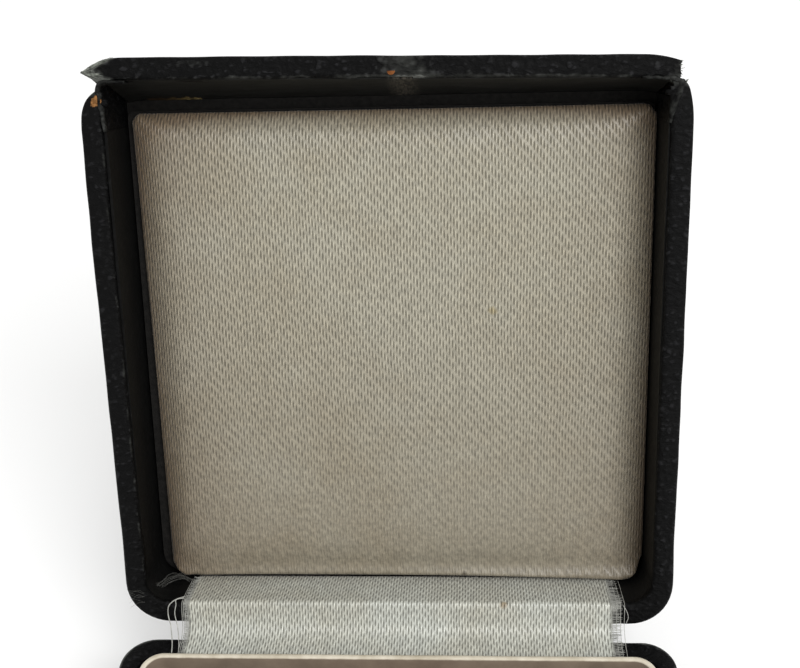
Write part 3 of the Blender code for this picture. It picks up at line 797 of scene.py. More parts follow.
def build_front_skin(black):
    """The front's own leathercloth, torn from the side walls' at both corners."""
    section = [(3.10, 1.4), (3.10, 0.8), (3.06, 0.35), (2.95, 0.12), (2.75, 0.02)]
    section += [(2.75 - 0.2 * step, 0.0) for step in range(1, 11)]
    section += [(0.5, 0.03), (0.25, 0.12), (0.08, 0.3), (0.0, 0.6)]
    section += [(0.0, 0.6 + 0.55 * step) for step in range(1, 23)]
    count = 280
    rows, wear = [], []
    for offset, w in section:
        row = []
        left, right = -front_end(-1, offset, w), front_end(1, offset, w)
        for step in range(count + 1):
            share = step / count
            share -= 0.11 * math.sin(math.tau * share)
            u = left + (right - left) * share
            bulge = 0.16 * wave(u * 0.13, offset * 0.6, 1.0) + 0.05 * (1.0 - (u / HALF) ** 2)
            row.append(lid_spot(u, front_v(u, w) - offset + bulge * (1.0 - w / SPLAY_DEPTH), w))
            inner_edge = 0.3 * bell(offset - 2.9, 0.2)
            ends = (1.1 - 0.06 * w) * bell(u - left, 0.5 + 1.4 * math.exp(-w)) + 0.35 * bell(right - u, 1.2)
            middle = 0.4 * bell(u - 3.0, 4.0) * bell(w, 1.5)
            speckle = 0.05 + 0.3 * wave(u * 0.22, offset * 0.5 + w * 0.3, 8.0)
            wear.append(inner_edge + ends + middle + max(speckle, 0.0))
        rows.append(row)
    vertices, faces = grid(rows)
    lip = 3 * count
    faces = [face for face in faces[:lip] if abs(vertices[face[0]][0]) >= SLOT_HALF] + faces[lip:]
    skin = make("front_skin", vertices, faces, black, "lid")
    dress(skin, "leatherette", "lid_front_cover", LEATHER, wear=wear)


def corner_fold(name, side, black):
    """Crumpled paper lining across a split corner, from the front's inner face round to the side wall."""
    path = curve_through([(u, v, 0.0) for u, v in (LEFT_FOLD if side < 0 else RIGHT_FOLD)], 9)
    roll = 0.35 if side < 0 else 1.0
    profile = [(roll, 0.10), (0.75 * roll, -0.05), (0.5 * roll, -0.05), (0.22 * roll, 0.12)]
    profile += [(0.06, 0.4), (0.0, 0.8)]
    profile += [(0.0, 0.8 + 0.6 * step) for step in range(1, 18)]
    rows, wear = [], []
    for out, w in profile:
        row = []
        for index, spot in enumerate(path):
            near = math.sin(math.pi * index / (len(path) - 1))
            crumple = noise.noise_vector(Vector((spot.x * 0.8, spot.y * 0.8, w * 0.5))) * 0.55 * near
            u = spot.x + side * (out * near + abs(crumple.x))
            row.append(lid_spot(u, spot.y + 0.25 * out * near + abs(crumple.y), w + 0.5 * crumple.z))
            wear.append(0.35 if w < 0.5 else 0.1)
        rows.append(row)
    vertices, faces = grid(rows)
    fold = make(name, vertices, faces, black, "lid")
    dress(fold, "black_paper", thickness=PAPER, wear=wear)


def slab(name, outer, inner, u_low, u_high, w_low, w_high, material, node, slot):
    """A slice of the leaning front: plank or lining."""
    rows = []
    loop = [(outer, w_low), (outer, w_high), (inner, w_high), (inner, w_low)]
    section = []
    for (offset_a, w_a), (offset_b, w_b) in zip(loop, loop[1:] + loop[:1]):
        steps = 14 if offset_a == offset_b else 3
        for step in range(steps):
            t = step / steps
            section.append((offset_a + (offset_b - offset_a) * t, w_a + (w_b - w_a) * t))
    for step in range(121):
        u = u_low + (u_high - u_low) * step / 120
        rows.append(uneven([lid_spot(u, front_v(u, w) - offset, w) for offset, w in section], 4.0, 0.05))
    vertices, faces = grid(rows, wrap_columns=True, first_cap=True, last_cap=True)
    item = make(name, vertices, faces, material, "lid")
    dress(item, slot, node)
    item.data.set_sharp_from_angle(angle=math.radians(SHARP_ANGLE))


def tuft(start, out):
    return curve_through([start, start + out * 0.6, start + out], 3)


def frayed_ends(white):
    """Torn backing fibres: a streaked point at the left end of the front, and short tufts at the right."""
    groups = []
    tip = Vector(lid_spot(-BEAK_REACH - 0.05, front_v(-BEAK_REACH, 0) - BEAK_OFFSET, -0.12))
    for _ in range(46):
        offset = draw(0.1, 2.9)
        u = -front_end(-1, offset, 0.0) + draw(0.1, 2.0)
        start = Vector(lid_spot(u, front_v(u, 0) - offset + 0.15, -0.03 - draw(0.0, 0.1)))
        end = start.lerp(tip, draw(0.35, 1.0))
        end.z -= draw(0.0, 0.12)
        middle = start.lerp(end, 0.5) + Vector((0, draw(-0.1, 0.1), -0.05))
        groups.append((curve_through([start, middle, end], 3), draw(0.02, 0.055)))
    for _ in range(26):
        offset, w = draw(0.0, 3.0), draw(0.0, 1.5)
        u = front_end(1, offset, w) - 0.25
        start = Vector(lid_spot(u, front_v(u, w) - offset, w))
        out = Vector((draw(0.25, 0.7), draw(-0.25, 0.3), draw(-0.25, 0.05)))
        groups.append((tuft(start, out), draw(0.02, 0.05)))
    for _ in range(16):
        start = Vector(lid_spot(40.6 + draw(-0.5, 0.4), TORN_V - 0.2, draw(0.0, 1.2)))
        out = Vector((draw(-0.2, 0.3), -draw(0.2, 0.6), draw(-0.2, 0.1)))
        groups.append((tuft(start, out), draw(0.03, 0.07)))
    vertices, faces = many_tubes(groups)
    tufts = make("torn_fibres", vertices, faces, white, "lid")


# ---------------------------------------------------------------- pad

PAD_LEFT_FRONT = -37.9
PAD_LEFT_REAR = -37.0
PAD_RIGHT = 38.75
PAD_REAR = 3.35
PAD_FRONT = 77.4
PAD_TOP = 6.75
PAD_BACK = 9.3
PAD_SOFT = 1.1
REAR_CURVE = 3.6
FRONT_CURVE = 2.3
REAR_LIFT_LEFT = 1.5
REAR_LIFT_RIGHT = 3.1
CLOTH_SCALE = 20.0
CLOTH_MESH = 1.1
CLOTH_FRAMES = 18


def pad_outline(inset):
    """The pad's plan in u and v, before its left edge is drawn in; the corners by the hinge are rounder."""
    points = []
    for radius, centre_u, centre_v, start in (
        (REAR_CURVE, PAD_RIGHT, PAD_REAR, 0), (REAR_CURVE, PAD_LEFT_FRONT, PAD_REAR, 90),
        (FRONT_CURVE, PAD_LEFT_FRONT, PAD_FRONT, 180), (FRONT_CURVE, PAD_RIGHT, PAD_FRONT, 270),
    ):
        r = max(radius - inset, 0.3)
        sign_u = -1 if centre_u > 0 else 1
        sign_v = 1 if centre_v < 40 else -1
        cu = centre_u + sign_u * (inset + r)
        cv = centre_v + sign_v * (inset + r)
        for u, minus_v in arc(cu, -cv, r, start, 8):
            points.append((u, -minus_v))
    return points


def build_pad(cloth):
    """The satin pad: blown up by cloth simulation inside its outline, then held to the depth it has."""
    rings = []
    for inset, w in ((1.2, 10.0), (0.2, 9.7), (0.0, 9.2), (0.35, 8.6), (1.4, 8.2), (5.0, 8.0), (15.0, 7.9)):
        rings.append([lid_spot(u, v, w) for u, v in pad_outline(inset)])
    vertices, faces = grid(rings, wrap_columns=True, first_cap=True, last_cap=True)
    pad = make("satin_pad", vertices, faces, cloth)
    face_outwards(pad)
    swell(pad)
    fit_pad(pad)
    smooth_step = pad.modifiers.new("smooth", "SUBSURF")
    smooth_step.levels = smooth_step.render_levels = 1
    spots = np.array([vertex.co for vertex in pad.data.vertices]) / MM
    u, v = spots[:, 0], -spots[:, 1] - HINGE_BACK
    set_attribute(pad, "cloth", np.stack([u, v, 0 * u], axis=1) * MM)
    # Darker towards the hinge side.
    soil = 0.42 * (1.0 - (v - PAD_REAR) / (PAD_FRONT - PAD_REAR))
    # Brown discoloration at the pad's front corners.
    for corner_u, weight in ((PAD_LEFT_FRONT, 0.3), (PAD_RIGHT, 0.22)):
        soil += weight * np.exp(-((u - corner_u) / 11.0) ** 2 - ((v - PAD_FRONT) / 16.0) ** 2)
    # Painted shade: darker along every edge, where the pad rounds off and meets the walls.
    for room, tight, wide in (
        (u - PAD_LEFT_FRONT, 0.35, 0.55), (PAD_RIGHT - u, 0.35, 0.32),
        (PAD_FRONT - v, 0.9, 0.28), (v - PAD_REAR, 0.0, 0.1),
    ):
        room = np.clip(room, 0, None)
        soil += tight * np.exp(-room / 1.3) + wide * np.exp(-room / 8.0)
    set_attribute(pad, "soil", np.clip(soil, 0, 1))
    pad.data.shade_smooth()
    pad.matrix_world = LID_FRAME
    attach(pad, "lid")
    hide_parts("lid_pad")


def fit_pad(pad):
    """Stretch the pad in its own plane until its edges lie on its outline, and lift its edge by the hinge."""
    spots = np.array([vertex.co for vertex in pad.data.vertices]) / MM
    across = (spots[:, 0] - spots[:, 0].min()) / np.ptp(spots[:, 0])
    along = (spots[:, 1].max() - spots[:, 1]) / np.ptp(spots[:, 1])
    left = PAD_LEFT_REAR + (PAD_LEFT_FRONT - PAD_LEFT_REAR) * along
    u = left + across * (PAD_RIGHT - left)
    v = PAD_REAR + along * (PAD_FRONT - PAD_REAR)
    below_back = np.clip(RIM_LIFT + 10.0 - spots[:, 2], 0.0, 1.0)
    lift = REAR_LIFT_LEFT + (REAR_LIFT_RIGHT - REAR_LIFT_LEFT) * across
    lift = lift * np.exp(-((v - PAD_REAR) / 1.6) ** 2) * below_back
    lift = np.minimum(lift, np.maximum(spots[:, 2] - RIM_LIFT - 6.8, 0.0))
    for vertex, new_u, new_v, up in zip(pad.data.vertices, u, v, lift):
        vertex.co = Vector((new_u * MM, -(HINGE_BACK + new_v) * MM, vertex.co.z - up * MM))


def swell(pad):
    """Inflate the pad as cloth, at a scale the solver likes, and keep every point within its real height."""
    kept = list(pad.data.materials)
    for vertex in pad.data.vertices:
        vertex.co = vertex.co * CLOTH_SCALE
    remesh = pad.modifiers.new("even", "REMESH")
    remesh.mode = "VOXEL"
    remesh.voxel_size = CLOTH_MESH * MM * CLOTH_SCALE
    bake_modifiers(pad)
    held = pad.vertex_groups.new(name="held")
    back = [v.index for v in pad.data.vertices if v.co.z / CLOTH_SCALE / MM - RIM_LIFT > PAD_BACK]
    held.add(back, 1.0, "REPLACE")
    step = pad.modifiers.new("swell", "CLOTH")
    settings = step.settings
    settings.vertex_group_mass = "held"
    settings.use_pressure = True
    settings.uniform_pressure_force = 4.0
    settings.effector_weights.gravity = 0.0
    settings.tension_stiffness = 12.0
    settings.shear_stiffness = 8.0
    settings.bending_stiffness = 4.0
    step.collision_settings.use_collision = False
    scene = bpy.context.scene
    for number in range(1, CLOTH_FRAMES + 1):
        scene.frame_set(number)
    bake_modifiers(pad)
    top = RIM_LIFT + PAD_TOP
    for vertex in pad.data.vertices:
        vertex.co = vertex.co / CLOTH_SCALE
        past = top + PAD_SOFT - vertex.co.z / MM
        if past > 0:
            vertex.co.z = (top + PAD_SOFT * math.exp(-past / PAD_SOFT)) * MM
    pad.data.materials.clear()
    for material in kept:
        pad.data.materials.append(material)
    scene.frame_set(1)


def bake_modifiers(item):
    """Replace an object's mesh by what its modifiers make of it."""
    graph = bpy.context.evaluated_depsgraph_get()
    done = bpy.data.meshes.new_from_object(item.evaluated_get(graph), depsgraph=graph)
    item.modifiers.clear()
    item.data = done


# ---------------------------------------------------------------- hinge ribbon

RIBBON_LEFT = -32.4
RIBBON_RIGHT = 32.9
RIBBON_COLUMNS = 160
LEFT_FRINGE = 0.75
RIGHT_FRINGE = 1.7
WEFT_ENDS = 5
LOOSE_WARPS = 4
HAIRS = 14
HAIR_RADIUS = 0.016


def ribbon_path():
    """The ribbon's middle line in the YZ plane: pad edge, lid rim, gap, base rim and behind the collar."""
    corners = [
        open_spot(0, 3.35, 8.6), open_spot(0, 3.35, 6.0), open_spot(0, 3.36, 3.0), open_spot(0, 3.38, 0.9),
        open_spot(0, 3.32, 0.05), open_spot(0, 3.0, -0.32), open_spot(0, 2.2, -0.42),
        open_spot(0, 0.8, -0.45), (0, 43.75, 16.5), (0, 42.9, 15.85), (0, 41.6, 15.58), (0, 39.9, 15.58),
        (0, 38.9, 15.42), (0, 38.52, 14.9), (0, 38.45, 13.6), (0, 38.45, 11.5),
    ]
    return [Vector(spot) for spot in curve_through(corners, 6)]


def build_ribbon(cloth, fibre, dull):
    path = ribbon_path()
    lengths = [0.0]
    for a, b in zip(path, path[1:]):
        lengths.append(lengths[-1] + (b - a).length)
    total = lengths[-1]
    rows, cloth_at, soil = [], [], []
    for here, along in zip(path, lengths):
        row = []
        for step in range(RIBBON_COLUMNS + 1):
            u = RIBBON_LEFT + (RIBBON_RIGHT - RIBBON_LEFT) * step / RIBBON_COLUMNS
            free = bell(along - total * 0.58, 4.0)
            ripple = 0.10 * free * wave(u * 0.16, along * 0.2, 5.0)
            row.append((u, here.y - 0.5 * ripple, here.z + ripple))
            cloth_at.append((u * MM, -along * MM, 0.0))
            # Painted shade where the ribbon comes out from under the pad's edge.
            soil.append(0.35 * math.exp(-along / 2.0))
        rows.append(row)
    vertices, faces = grid(rows)
    ribbon = make("satin_ribbon", vertices, faces, cloth)
    dress(ribbon, "satin", "hinge_ribbon", RIBBON_THICK, cloth=cloth_at, soil=soil)
    bend_across_hinge(ribbon)
    build_fringe(path, lengths, fibre)
    corner_hairs(dull)


def bend_across_hinge(item):
    end = open_spot(0, 0.4, -0.4) * MM
    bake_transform(item)


def build_fringe(path, lengths, fibre):
    """Weft ends that stick out of the ribbon's raw edges, and warp threads come loose beside them."""
    groups = []
    seen = [(here, along) for here, along in zip(path, lengths) if 0.6 < along < lengths[-1] - 2.0]
    for edge, side, reach in ((RIBBON_LEFT, -1, LEFT_FRINGE), (RIBBON_RIGHT, 1, RIGHT_FRINGE)):
        for here, along in seen:
            for _ in range(WEFT_ENDS):
                out = draw(0.35, 1.0) * reach
                shift = draw(-0.25, 0.25)
                lift = draw(-0.03, 0.12)
                start = Vector((edge - side * 0.4, here.y, here.z + 0.02 + shift * 0.3))
                middle = start + Vector((side * (0.4 + out * 0.5), -lift, lift + shift * 0.2))
                end = start + Vector((side * (0.4 + out), -lift * 0.4, lift * 1.2 + shift))
                groups.append((curve_through([start, middle, end], 3), draw(0.012, 0.024)))
        for loose in range(LOOSE_WARPS):
            offset = side * (0.1 + 0.34 * reach * loose)
            points = []
            for here, along in seen[::5]:
                sway = 0.10 * wave(along * 0.4, loose * 3.0, side)
                points.append((edge + offset + sway, here.y - 0.12 - 0.03 * loose, here.z + 0.08))
            groups.append((curve_through(points, 4), 0.05))
    vertices, faces = many_tubes(groups, 4)
    fringe = make("ribbon_fringe", vertices, faces, fibre)
    bend_across_hinge(fringe)
    loops = []
    for out, drop, radius in ((-35.4, 0.0, 0.085), (-34.35, 0.5, 0.07)):
        points = [
            open_spot(-33.0, 3.6, 0.4 + drop), open_spot(-34.0, 3.9, -0.6),
            open_spot(out + 0.25, 3.0, -0.8), open_spot(out, 1.6, -0.9),
            (out + 0.3, 43.4, 16.7), (out + 0.9, 41.0, 15.9), (out + 1.2, 39.0, 15.7),
        ]
        loops.append((curve_through(points, 7), radius))
    stray = [
        open_spot(34.5, 3.2, -0.35), open_spot(35.1, 2.2, -0.6),
        open_spot(35.3, 1.2, -0.7), open_spot(35.0, 0.2, -0.6),
    ]
    loops.append((curve_through(stray, 7), 0.05))
    vertices, faces = many_tubes(loops, 7)
    threads = make("loose_threads", vertices, faces, fibre)
    bend_across_hinge(threads)


def corner_hairs(dull):
    """Fine hairs from the pad's rear left corner, some of them across the lid's rim."""
    hairs = []
    for number in range(HAIRS):
        rise = draw(-0.5, 1.6)
        start = draw(-0.7, 0.5)
        points = [Vector(lid_spot(-32.9 + start, 3.5 + 0.3 * start, 6.3))]
        for u, v, w in ((-34.6, 4.2, 5.9), (-36.0, 4.3, 5.0), (-37.3, 3.9, 4.0), (-38.5, 3.5, 2.7)):
            points.append(Vector(lid_spot(
                u + draw(-0.25, 0.25), v + rise * draw(0.2, 1.0), w + draw(-0.3, 0.3),
            )))
        if number % 2 == 0:
            end = 3.4 + rise
            over_rim = ((-38.86, end, 1.2), (-39.15, end, -0.02), (-40.2, end + draw(-0.5, 0.5), -0.12))
            points += [Vector(lid_spot(*spot)) for spot in over_rim]
            points.append(Vector(lid_spot(-41.6, end + draw(-1.2, 0.9), -0.1)))
        hairs.append((curve_through(points, 5), HAIR_RADIUS))
    vertices, faces = many_tubes(hairs, 4)
    wisps = make("corner_wisps", vertices, faces, dull, "lid")


# ---------------------------------------------------------------- base

BUTTON_HOLE = 3.1
COLLAR_THICK = 0.8
COLLAR_FRONT_CORNER = 0.6
COLLAR_REAR_CORNER = 3.2
COLLAR_LEAN = 0.6
NOTCH_HALF = 4.0
NOTCH_FLOOR = 4.3


def build_base_skin(black):
    """Leatherette from under the floor, up the outside and over the rim."""
    low, top = BASE_LOW[2], BASE_HIGH[2] + 0.12
    half_x, half_y = BASE_HIGH[0], BASE_HIGH[1]
    profile = [(4.8, low + 0.3), (4.8, low), (3.0, low), (1.2, low)]
    profile += [(0.5, low + 0.05), (0.2, low + 0.18), (0.04, low + 0.45)]
    profile += [(0.0, low + 0.7 + (top - low - 1.4) * step / 26) for step in range(27)]
    profile += [(0.03, top - 0.4), (0.15, top - 0.18), (0.35, top - 0.05), (0.6, top)]
    profile += [(0.6 + 0.22 * step, top + 0.05 * math.sin(math.pi * step / 10)) for step in range(1, 11)]
    profile += [(2.98, top - 0.12), (3.08, top - 0.35), (3.10, top - 0.8), (3.12, top - 5.0)]
    rows, wear = [], []
    for inset, z in profile:
        rear = half_y + overhang(inset)
        plan = rounded_plan(half_x, -half_y, rear, FRONT_CORNER, BASE_REAR_CORNER, inset)
        rows.append(uneven([(x, y, z) for x, y in plan], 6.0, 0.08, 9.0))
        for x, y in plan:
            patch = max(0.5 + wave(x * 0.12, y * 0.12, z * 0.2), 0.0)
            rim = bell(z - top, 0.6) * bell(inset - 0.1, 0.4)
            foot = bell(z - low, 0.5) * 0.8
            corner = 0.4 * min(1.0, math.exp((abs(x) + abs(y) - 80.0) / 2.5))
            wear.append(patch * (0.55 * rim + foot) + corner * (rim + foot + 0.2))
    vertices, faces = grid(rows, wrap_columns=True)

    def wanted(x, y, z, _):
        return y > -half_y + 0.3 or math.hypot(x, z - BUTTON_Z) > BUTTON_HOLE

    skin = make("base_skin", vertices, keep_faces(vertices, faces, wanted), black, "base")
    dress(skin, "leatherette", "base_cover", BASE_LEATHER, wear=wear)


def build_collar(card):
    """The card collar: a thin frame with a softened, slightly wavy top edge."""
    low, top = COLLAR_LOW[2], COLLAR_HIGH[2]
    half_x = COLLAR_HIGH[0]
    front, rear = COLLAR_LOW[1], COLLAR_HIGH[1]
    thick = COLLAR_THICK
    profile = [(thick, low + (top - 0.3 - low) * step / 14) for step in range(15)]
    profile += [(thick - 0.05, top - 0.12), (thick - 0.2, top - 0.02), (0.4, top)]
    profile += [(0.2, top - 0.02), (0.05, top - 0.12)]
    profile += [(0.0, top - 0.3 - (top - 0.3 - low) * step / 14) for step in range(15)]
    rows = []
    for inset, z in profile:
        plan = rounded_plan(half_x, front, rear, COLLAR_FRONT_CORNER, COLLAR_REAR_CORNER, inset)
        row = []
        for x, y in plan:
            if x < 0.0:
                x += COLLAR_LEAN * clamp((y - 20.0) / 16.0) * min(-x / 30.0, 1.0)
            lift = 0.10 * wave(x * 0.09, y * 0.09, 0.0) if z > top - 1.0 else 0.0
            row.append((x, y, z + lift))
        rows.append(row)
    vertices, faces = grid(rows, wrap_rows=True, wrap_columns=True)

    def wanted(x, y, z, _):
        return not (abs(x) < NOTCH_HALF and y < front + 2.0 and z > NOTCH_FLOOR)

    collar = make("card_collar", vertices, keep_faces(vertices, faces, wanted), card, "base")
    dress(collar, "cream_card", "collar")


# ---------------------------------------------------------------- medal

DISC_CENTRE = ((DISC_LOW[0] + DISC_HIGH[0]) / 2, (DISC_LOW[1] + DISC_HIGH[1]) / 2)
DISC_RADIUS = (DISC_HIGH[0] - DISC_LOW[0]) / 2
DISC_TOP = DISC_HIGH[2]
RIM_HEIGHT = 0.85
RIM_SLOPE = 0.35
DISC_FIELD = DISC_TOP - RIM_HEIGHT
RIM_INNER = DISC_RADIUS - 1.5
BEAD_COUNT = 72
BEAD_RADIUS = 0.52
BEAD_RING = RIM_INNER - 0.85
BEAD_HEIGHT = 0.42
DISC_SPOKES = 540
DISC_RINGS = 135
DISC_HUB = 0.02
WREATH_RADIUS = 12.3
WREATH_ENDS = 152.0
LAST_LEAF = 146.0
LEAF_PITCH = 2.15
LEAF_LEAN = 30
LEAF_REACH = 1.6
LEAF_HALF = 0.62
LEAF_HEIGHT = 0.44
STAR_OUTER = 8.4
STAR_INNER = 3.5


def rim_height(r):
    """The disc's raised edge, rounded on both sides, above its field."""
    if r < RIM_INNER:
        share = max((r - RIM_INNER + RIM_SLOPE) / RIM_SLOPE, 0.0)
        return RIM_HEIGHT * share * share * (3 - 2 * share)
    outer = max(r - DISC_RADIUS + RIM_SLOPE, 0.0) / RIM_SLOPE
    return RIM_HEIGHT - 0.3 * outer ** 2


def bead_height(r, angle):
    """A ring of small domes inside the rim."""
    step = math.tau / BEAD_COUNT
    around = (angle % step - step / 2) * BEAD_RING
    square = ((r - BEAD_RING) ** 2 + around ** 2) / BEAD_RADIUS ** 2
    return BEAD_HEIGHT * math.sqrt(1.0 - square) if square < 1.0 else 0.0


def wreath_height(x, y):
    """Two laurel branches that rise from the foot: a stem, with a leaf each side of it at every joint."""
    r = math.hypot(x, y)
    from_foot = abs(math.degrees(math.atan2(x, -y)))
    if from_foot > WREATH_ENDS or abs(r - WREATH_RADIUS) > 2.2:
        return 0.0
    high = 0.22 * bell(r - WREATH_RADIUS, 0.2)
    along = math.radians(from_foot) * WREATH_RADIUS
    lean = math.radians(LEAF_LEAN)
    nearest = math.floor(along / LEAF_PITCH)
    for number in (nearest - 1, nearest):
        root = number * LEAF_PITCH
        if root < 0.8 or root > math.radians(LAST_LEAF) * WREATH_RADIUS:
            continue
        for side in (-1, 1):
            out = side * (r - WREATH_RADIUS)
            ahead = (along - root) * math.cos(lean) + out * math.sin(lean) - LEAF_REACH
            aside = -(along - root) * math.sin(lean) + out * math.cos(lean)
            share = ahead / LEAF_REACH
            half = LEAF_HALF * math.sqrt(max(1.0 - share ** 2, 0.0)) * (1.0 - 0.2 * share)
            if half > 0.02 and abs(aside) < half:
                leaf = LEAF_HEIGHT * (1.0 - (aside / half) ** 2) ** 0.6
                high = max(high, leaf - 0.12 * bell(aside, 0.09))
    return high


def star_height(x, y):
    """A plain five-pointed star cut in facets: each runs from the outline up to the middle."""
    r = math.hypot(x, y)
    sector = math.radians(36)
    angle = abs((math.atan2(x, y) + sector) % (2 * sector) - sector)
    tip = Vector((STAR_OUTER, 0.0))
    notch = Vector((STAR_INNER * math.cos(sector), STAR_INNER * math.sin(sector)))
    edge = notch - tip
    outline = (tip.x * edge.y - tip.y * edge.x) / (math.cos(angle) * edge.y - math.sin(angle) * edge.x)
    return 0.16 + 0.62 * (1.0 - r / outline) if r < outline else 0.0


def build_medal(bronze):
    """The struck disc: rim, beads, laurel wreath and star on its face, and a plain back with a rim."""
    turns = [math.tau * spoke / DISC_SPOKES for spoke in range(DISC_SPOKES)]
    radii = [DISC_HUB + (DISC_RADIUS - DISC_HUB) * step / DISC_RINGS for step in range(DISC_RINGS + 1)]
    cx, cy = DISC_CENTRE
    rows, wear = [], []
    for r in radii:
        row = []
        for angle in turns:
            x, y = r * math.cos(angle), r * math.sin(angle)
            high = max(rim_height(r), bead_height(r, angle), wreath_height(x, y), star_height(x, y))
            row.append((cx + x, cy + y, DISC_FIELD + high))
            patch = 0.6 + 0.6 * wave(x * 0.15, y * 0.15, 4.0)
            wear.append(clamp((high / 0.8) ** 1.4 * patch))
        rows.append(row)
    low = DISC_LOW[2]
    side = [(DISC_RADIUS, DISC_TOP - 0.6), (DISC_RADIUS, low + 0.35), (DISC_RADIUS - 0.1, low + 0.1)]
    side += [(DISC_RADIUS - RIM_SLOPE, low), (RIM_INNER, low), (RIM_INNER - 0.4, low + 0.4)]
    for r, z in side + [(DISC_HUB, low + 0.4)]:
        rows.append([(cx + r * math.cos(angle), cy + r * math.sin(angle), z) for angle in turns])
        wear += [0.35 if r > RIM_INNER else 0.05] * DISC_SPOKES
    vertices, faces = grid(rows, wrap_columns=True, first_cap=True, last_cap=True)
    medal = make("struck_disc", vertices, faces, bronze, "medal")
    dress(medal, "bronze", "medal_disc", wear=wear)


# ---------------------------------------------------------------- medal ribbon

DRAPE_HALF = DRAPE_HIGH[0]
DRAPE_REAR = DRAPE_HIGH[1]
SHOULDER = 17.5
FOLD_HALF = 1.5
FOLD_SPOT = (RING_HIGH[1] - 0.55, (RING_LOW[2] + RING_HIGH[2]) / 2)
FOLD_RADIUS = 1.15


def drape_path():
    """The ribbon's middle line from the bar to the ring, over the ring's wire and back under itself."""
    y, z = FOLD_SPOT
    points = [
        (0.0, DRAPE_REAR, 9.05), (0.0, 28.0, 9.08), (0.0, 24.0, 9.1), (0.0, SHOULDER, 9.12),
        (0.0, y + 5.5, 9.25), (0.0, y + 2.6, 9.75),
    ]
    for angle in range(65, 300, 18):
        turn = math.radians(angle)
        points.append((0.0, y + FOLD_RADIUS * math.cos(turn), z + FOLD_RADIUS * math.sin(turn)))
    points += [(0.0, y + 2.2, 8.3), (0.0, y + 4.0, 8.5)]
    return curve_through(points, 8)


def drape_half_width(y):
    """Full width down to the shoulder, then folded in to the width of the ring's eye."""
    foot = FOLD_SPOT[0] + 1.0
    share = clamp((y - foot) / (SHOULDER - foot))
    return FOLD_HALF + (DRAPE_HALF - FOLD_HALF) * share


def build_drape(cloth):
    """The medal's ribbon, folded to a point: rolled edges, narrowing to a loop round the ring."""
    path = drape_path()
    along = area = 0.0
    rows, cloth_at = [], []
    columns = 72
    for index, here in enumerate(path):
        ahead = (path[min(index + 1, len(path) - 1)] - path[max(index - 1, 0)]).normalized()
        up = Vector((1.0, 0.0, 0.0)).cross(ahead)
        along += (here - path[max(index - 1, 0)]).length
        looped = index > len(path) - 8 * 15
        half = FOLD_HALF if looped and here.y < FOLD_SPOT[0] + 1.0 else drape_half_width(here.y)
        if here.z < FOLD_SPOT[1] - 0.5 * FOLD_RADIUS:
            half = FOLD_HALF
        area += 2 * half * (here - path[max(index - 1, 0)]).length
        thick = 0.20 + 0.14 * min((half - FOLD_HALF) / 6.0, 1.0)
        row = []
        for side in (1, -1):
            for step in range(columns + 1):
                share = (2.0 * step / columns - 1.0) * side
                rolled = math.sqrt(max(1.0 - abs(share) ** (2.0 * half / 0.5), 0.0))
                narrow = (1.0 - (half / DRAPE_HALF) ** 2) * min(half / 5.0, 1.0)
                folds = 0.08 * math.cos(share * 9.0) * narrow
                pillow = 0.10 * wave(share * half * 0.12, here.y * 0.12, 6.0) * min(half / 8.0, 1.0)
                row.append(tuple(
                    here - up * (side * thick * rolled + pillow + folds) + Vector((share * half, 0.0, 0.0))
                ))
                cloth_at.append((share * half * MM, along * MM, 0.0))
        rows.append(row)
    vertices, faces = grid(rows, wrap_columns=True, first_cap=True, last_cap=True)
    drape = make("folded_ribbon", vertices, faces, cloth, "medal")
    dress(drape, "drape", "medal_ribbon", cloth=cloth_at)
    area * MM * MM


def repaint(material, *nodes):
    for name in nodes:
        item = frame["nodes"][name]
        item.data.materials.clear()
        item.data.materials.append(material)


# ---------------------------------------------------------------- stage, light and camera

FLOOR_HALF = 3.0


def build_stage():
    paint = Paint("pale_floor", 0.9, specular=0.1)
    paint.colour(paint.ramp(paint.noise(400.0), (0.3, 0.75), (0.7, 0.77)))
    mesh = bpy.data.meshes.new("floor")
    corners = [(x * FLOOR_HALF, y * FLOOR_HALF, 0) for x, y in ((-1, -1), (1, -1), (1, 1), (-1, 1))]
    mesh.from_pydata(corners, [], [(0, 1, 2, 3)])
    mesh.materials.append(paint.material)
    floor = bpy.data.objects.new("floor", mesh)
    bpy.context.scene.collection.objects.link(floor)


def area_light(name, place, target, size, watts):
    data = bpy.data.lights.new(name, "AREA")
    data.shape = "DISK"
    data.size = size
    data.energy = watts
    lamp = bpy.data.objects.new(name, data)
    bpy.context.scene.collection.objects.link(lamp)
    lamp.location = place
    lamp.rotation_euler = (Vector(target) - Vector(place)).to_track_quat("-Z", "Y").to_euler()


def build_lights():
    world = bpy.data.worlds.new("studio")
    world.use_nodes = True
    back = world.node_tree.nodes["Background"]
    back.inputs["Color"].default_value = (1.0, 1.0, 0.99, 1.0)
    back.inputs["Strength"].default_value = 0.85
    bpy.context.scene.world = world
    middle = (0.0, 0.05, 0.05)
    area_light("key", (0.28, -0.40, 0.55), middle, 0.5, 4.0)
    area_light("backdrop", (0.0, 0.95, 0.75), (0.0, 0.45, 0.0), 0.6, 5.0)


def build_camera():
    data = bpy.data.cameras.new("camera")
    data.lens = 50.72
    data.sensor_width = 36.0
    data.clip_start = 0.005
    camera = bpy.data.objects.new("camera", data)
    bpy.context.scene.collection.objects.link(camera)
    camera.location = (0.010927, -0.072824, 0.152341)
    camera.rotation_euler = (math.radians(55.26), math.radians(2.28), math.radians(2.43))
    bpy.context.scene.camera = camera


# ---------------------------------------------------------------- assembly

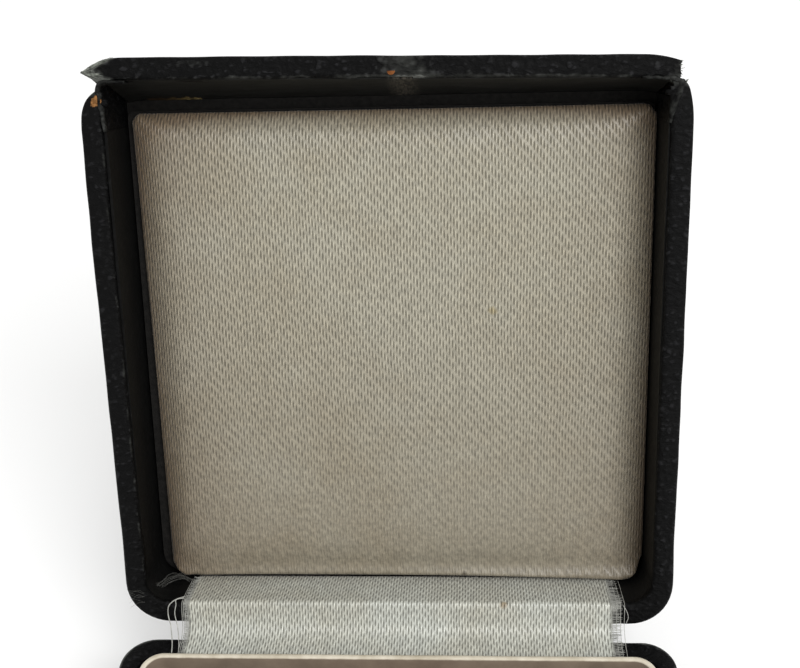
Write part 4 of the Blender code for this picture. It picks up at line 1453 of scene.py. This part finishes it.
def main():
    bpy.context.scene.view_settings.view_transform = "Standard"
    build_camera()
    build_lights()
    build_stage()
    black = leatherette()
    white = mottled(
        "backing", (0.9, 0.2), (0.7, 6.0, 0.35), (0.04, 0.043, 0.036), (0.27, 0.285, 0.25), (0.2, 4.0, 0.08),
    )
    fibre = thread_fibre("thread", (0.26, 0.26, 0.24), (0.50, 0.50, 0.46))
    dull = thread_fibre("hair", (0.05, 0.05, 0.045), (0.12, 0.12, 0.11))
    # Painted shade: the pasteboard about the pad is coloured near black for the shade in the gap between the
    # pad and the walls.
    board_dark, board_light = (0.0035, 0.0033, 0.003), (0.011, 0.010, 0.009)
    shade_dark_board = mottled("pasteboard", (0.9, 0.2), (0.8, 6.0, 0.3), board_dark, board_light, (0.4, 4.0, 0.05))
    timber, paper = pine(), lining_paper()
    build_lid_skin(black)
    build_front_skin(black)
    slab("front_plank", 0.75, 2.4, -38.8, 39.4, 0.6, 11.45, timber, "lid_front_wall", "pine")
    front_paper = front_lining_paper(-35.6, -27.5, 9.9)
    slab("front_lining", 2.7, 3.1, -38.6, 38.8, 0.5, 11.6, front_paper, "lid_front_lining", "black_paper")
    corner_fold("left_corner_fold", -1, black)
    corner_fold("right_corner_fold", 1, black)
    frayed_ends(white)
    # Each satin's first colour is the floats' own, its second the painted shade in the slits between them.
    build_pad(satin(
        "pad_satin", (0.33, 0.315, 0.25), (0.135, 0.125, 0.095), 0.34, (0.463, 1.735, 0.312),
        stains=((15.0, 47.5, 1.3, (0.95, 0.82, 0.50)), (10.5, 4.2, 0.9, (0.22, 0.20, 0.17))),
        smooth_end=(7.0, 45.0),
    ))
    ribbon_cloth = satin(
        "ribbon_satin", (0.46, 0.47, 0.425), (0.17, 0.17, 0.145), 0.26, (0.432, 1.62, 0.4),
        stains=((16.5, -9.0, 1.1, (0.62, 0.50, 0.38)),),
    )
    build_ribbon(ribbon_cloth, fibre, dull)
    build_base_skin(black)
    build_collar(cream_card())
    repaint(timber, "lid_left_wall", "lid_right_wall", "lid_rear_wall", "base_left_wall", "base_right_wall",
            "base_rear_wall", "base_front_wall", "base_floor_board")
    repaint(paper, "lid_lining", "base_bottom_sheet")
    repaint(shade_dark_board, "lid_pad_board", "insert_board", "lid_top_board")
    repaint(flock(), "medal_bed")
    brass = old_metal("old_brass", (0.16, 0.10, 0.04), (0.60, 0.42, 0.18), 0.32)
    rusty = old_metal("rusty_nail", (0.04, 0.014, 0.006), (0.20, 0.075, 0.025), 0.55)
    steel = old_metal("spring_steel", (0.10, 0.09, 0.08), (0.42, 0.41, 0.39), 0.30)
    repaint(brass, "push_button", "button_escutcheon", "jump_ring")
    repaint(rusty, "strike_nail")
    repaint(steel, "catch_leaf")
    bronze = struck_bronze()
    repaint(bronze, "medal_lug", "brooch_bar")
    build_medal(bronze)
    build_drape(striped_ribbon())


main()
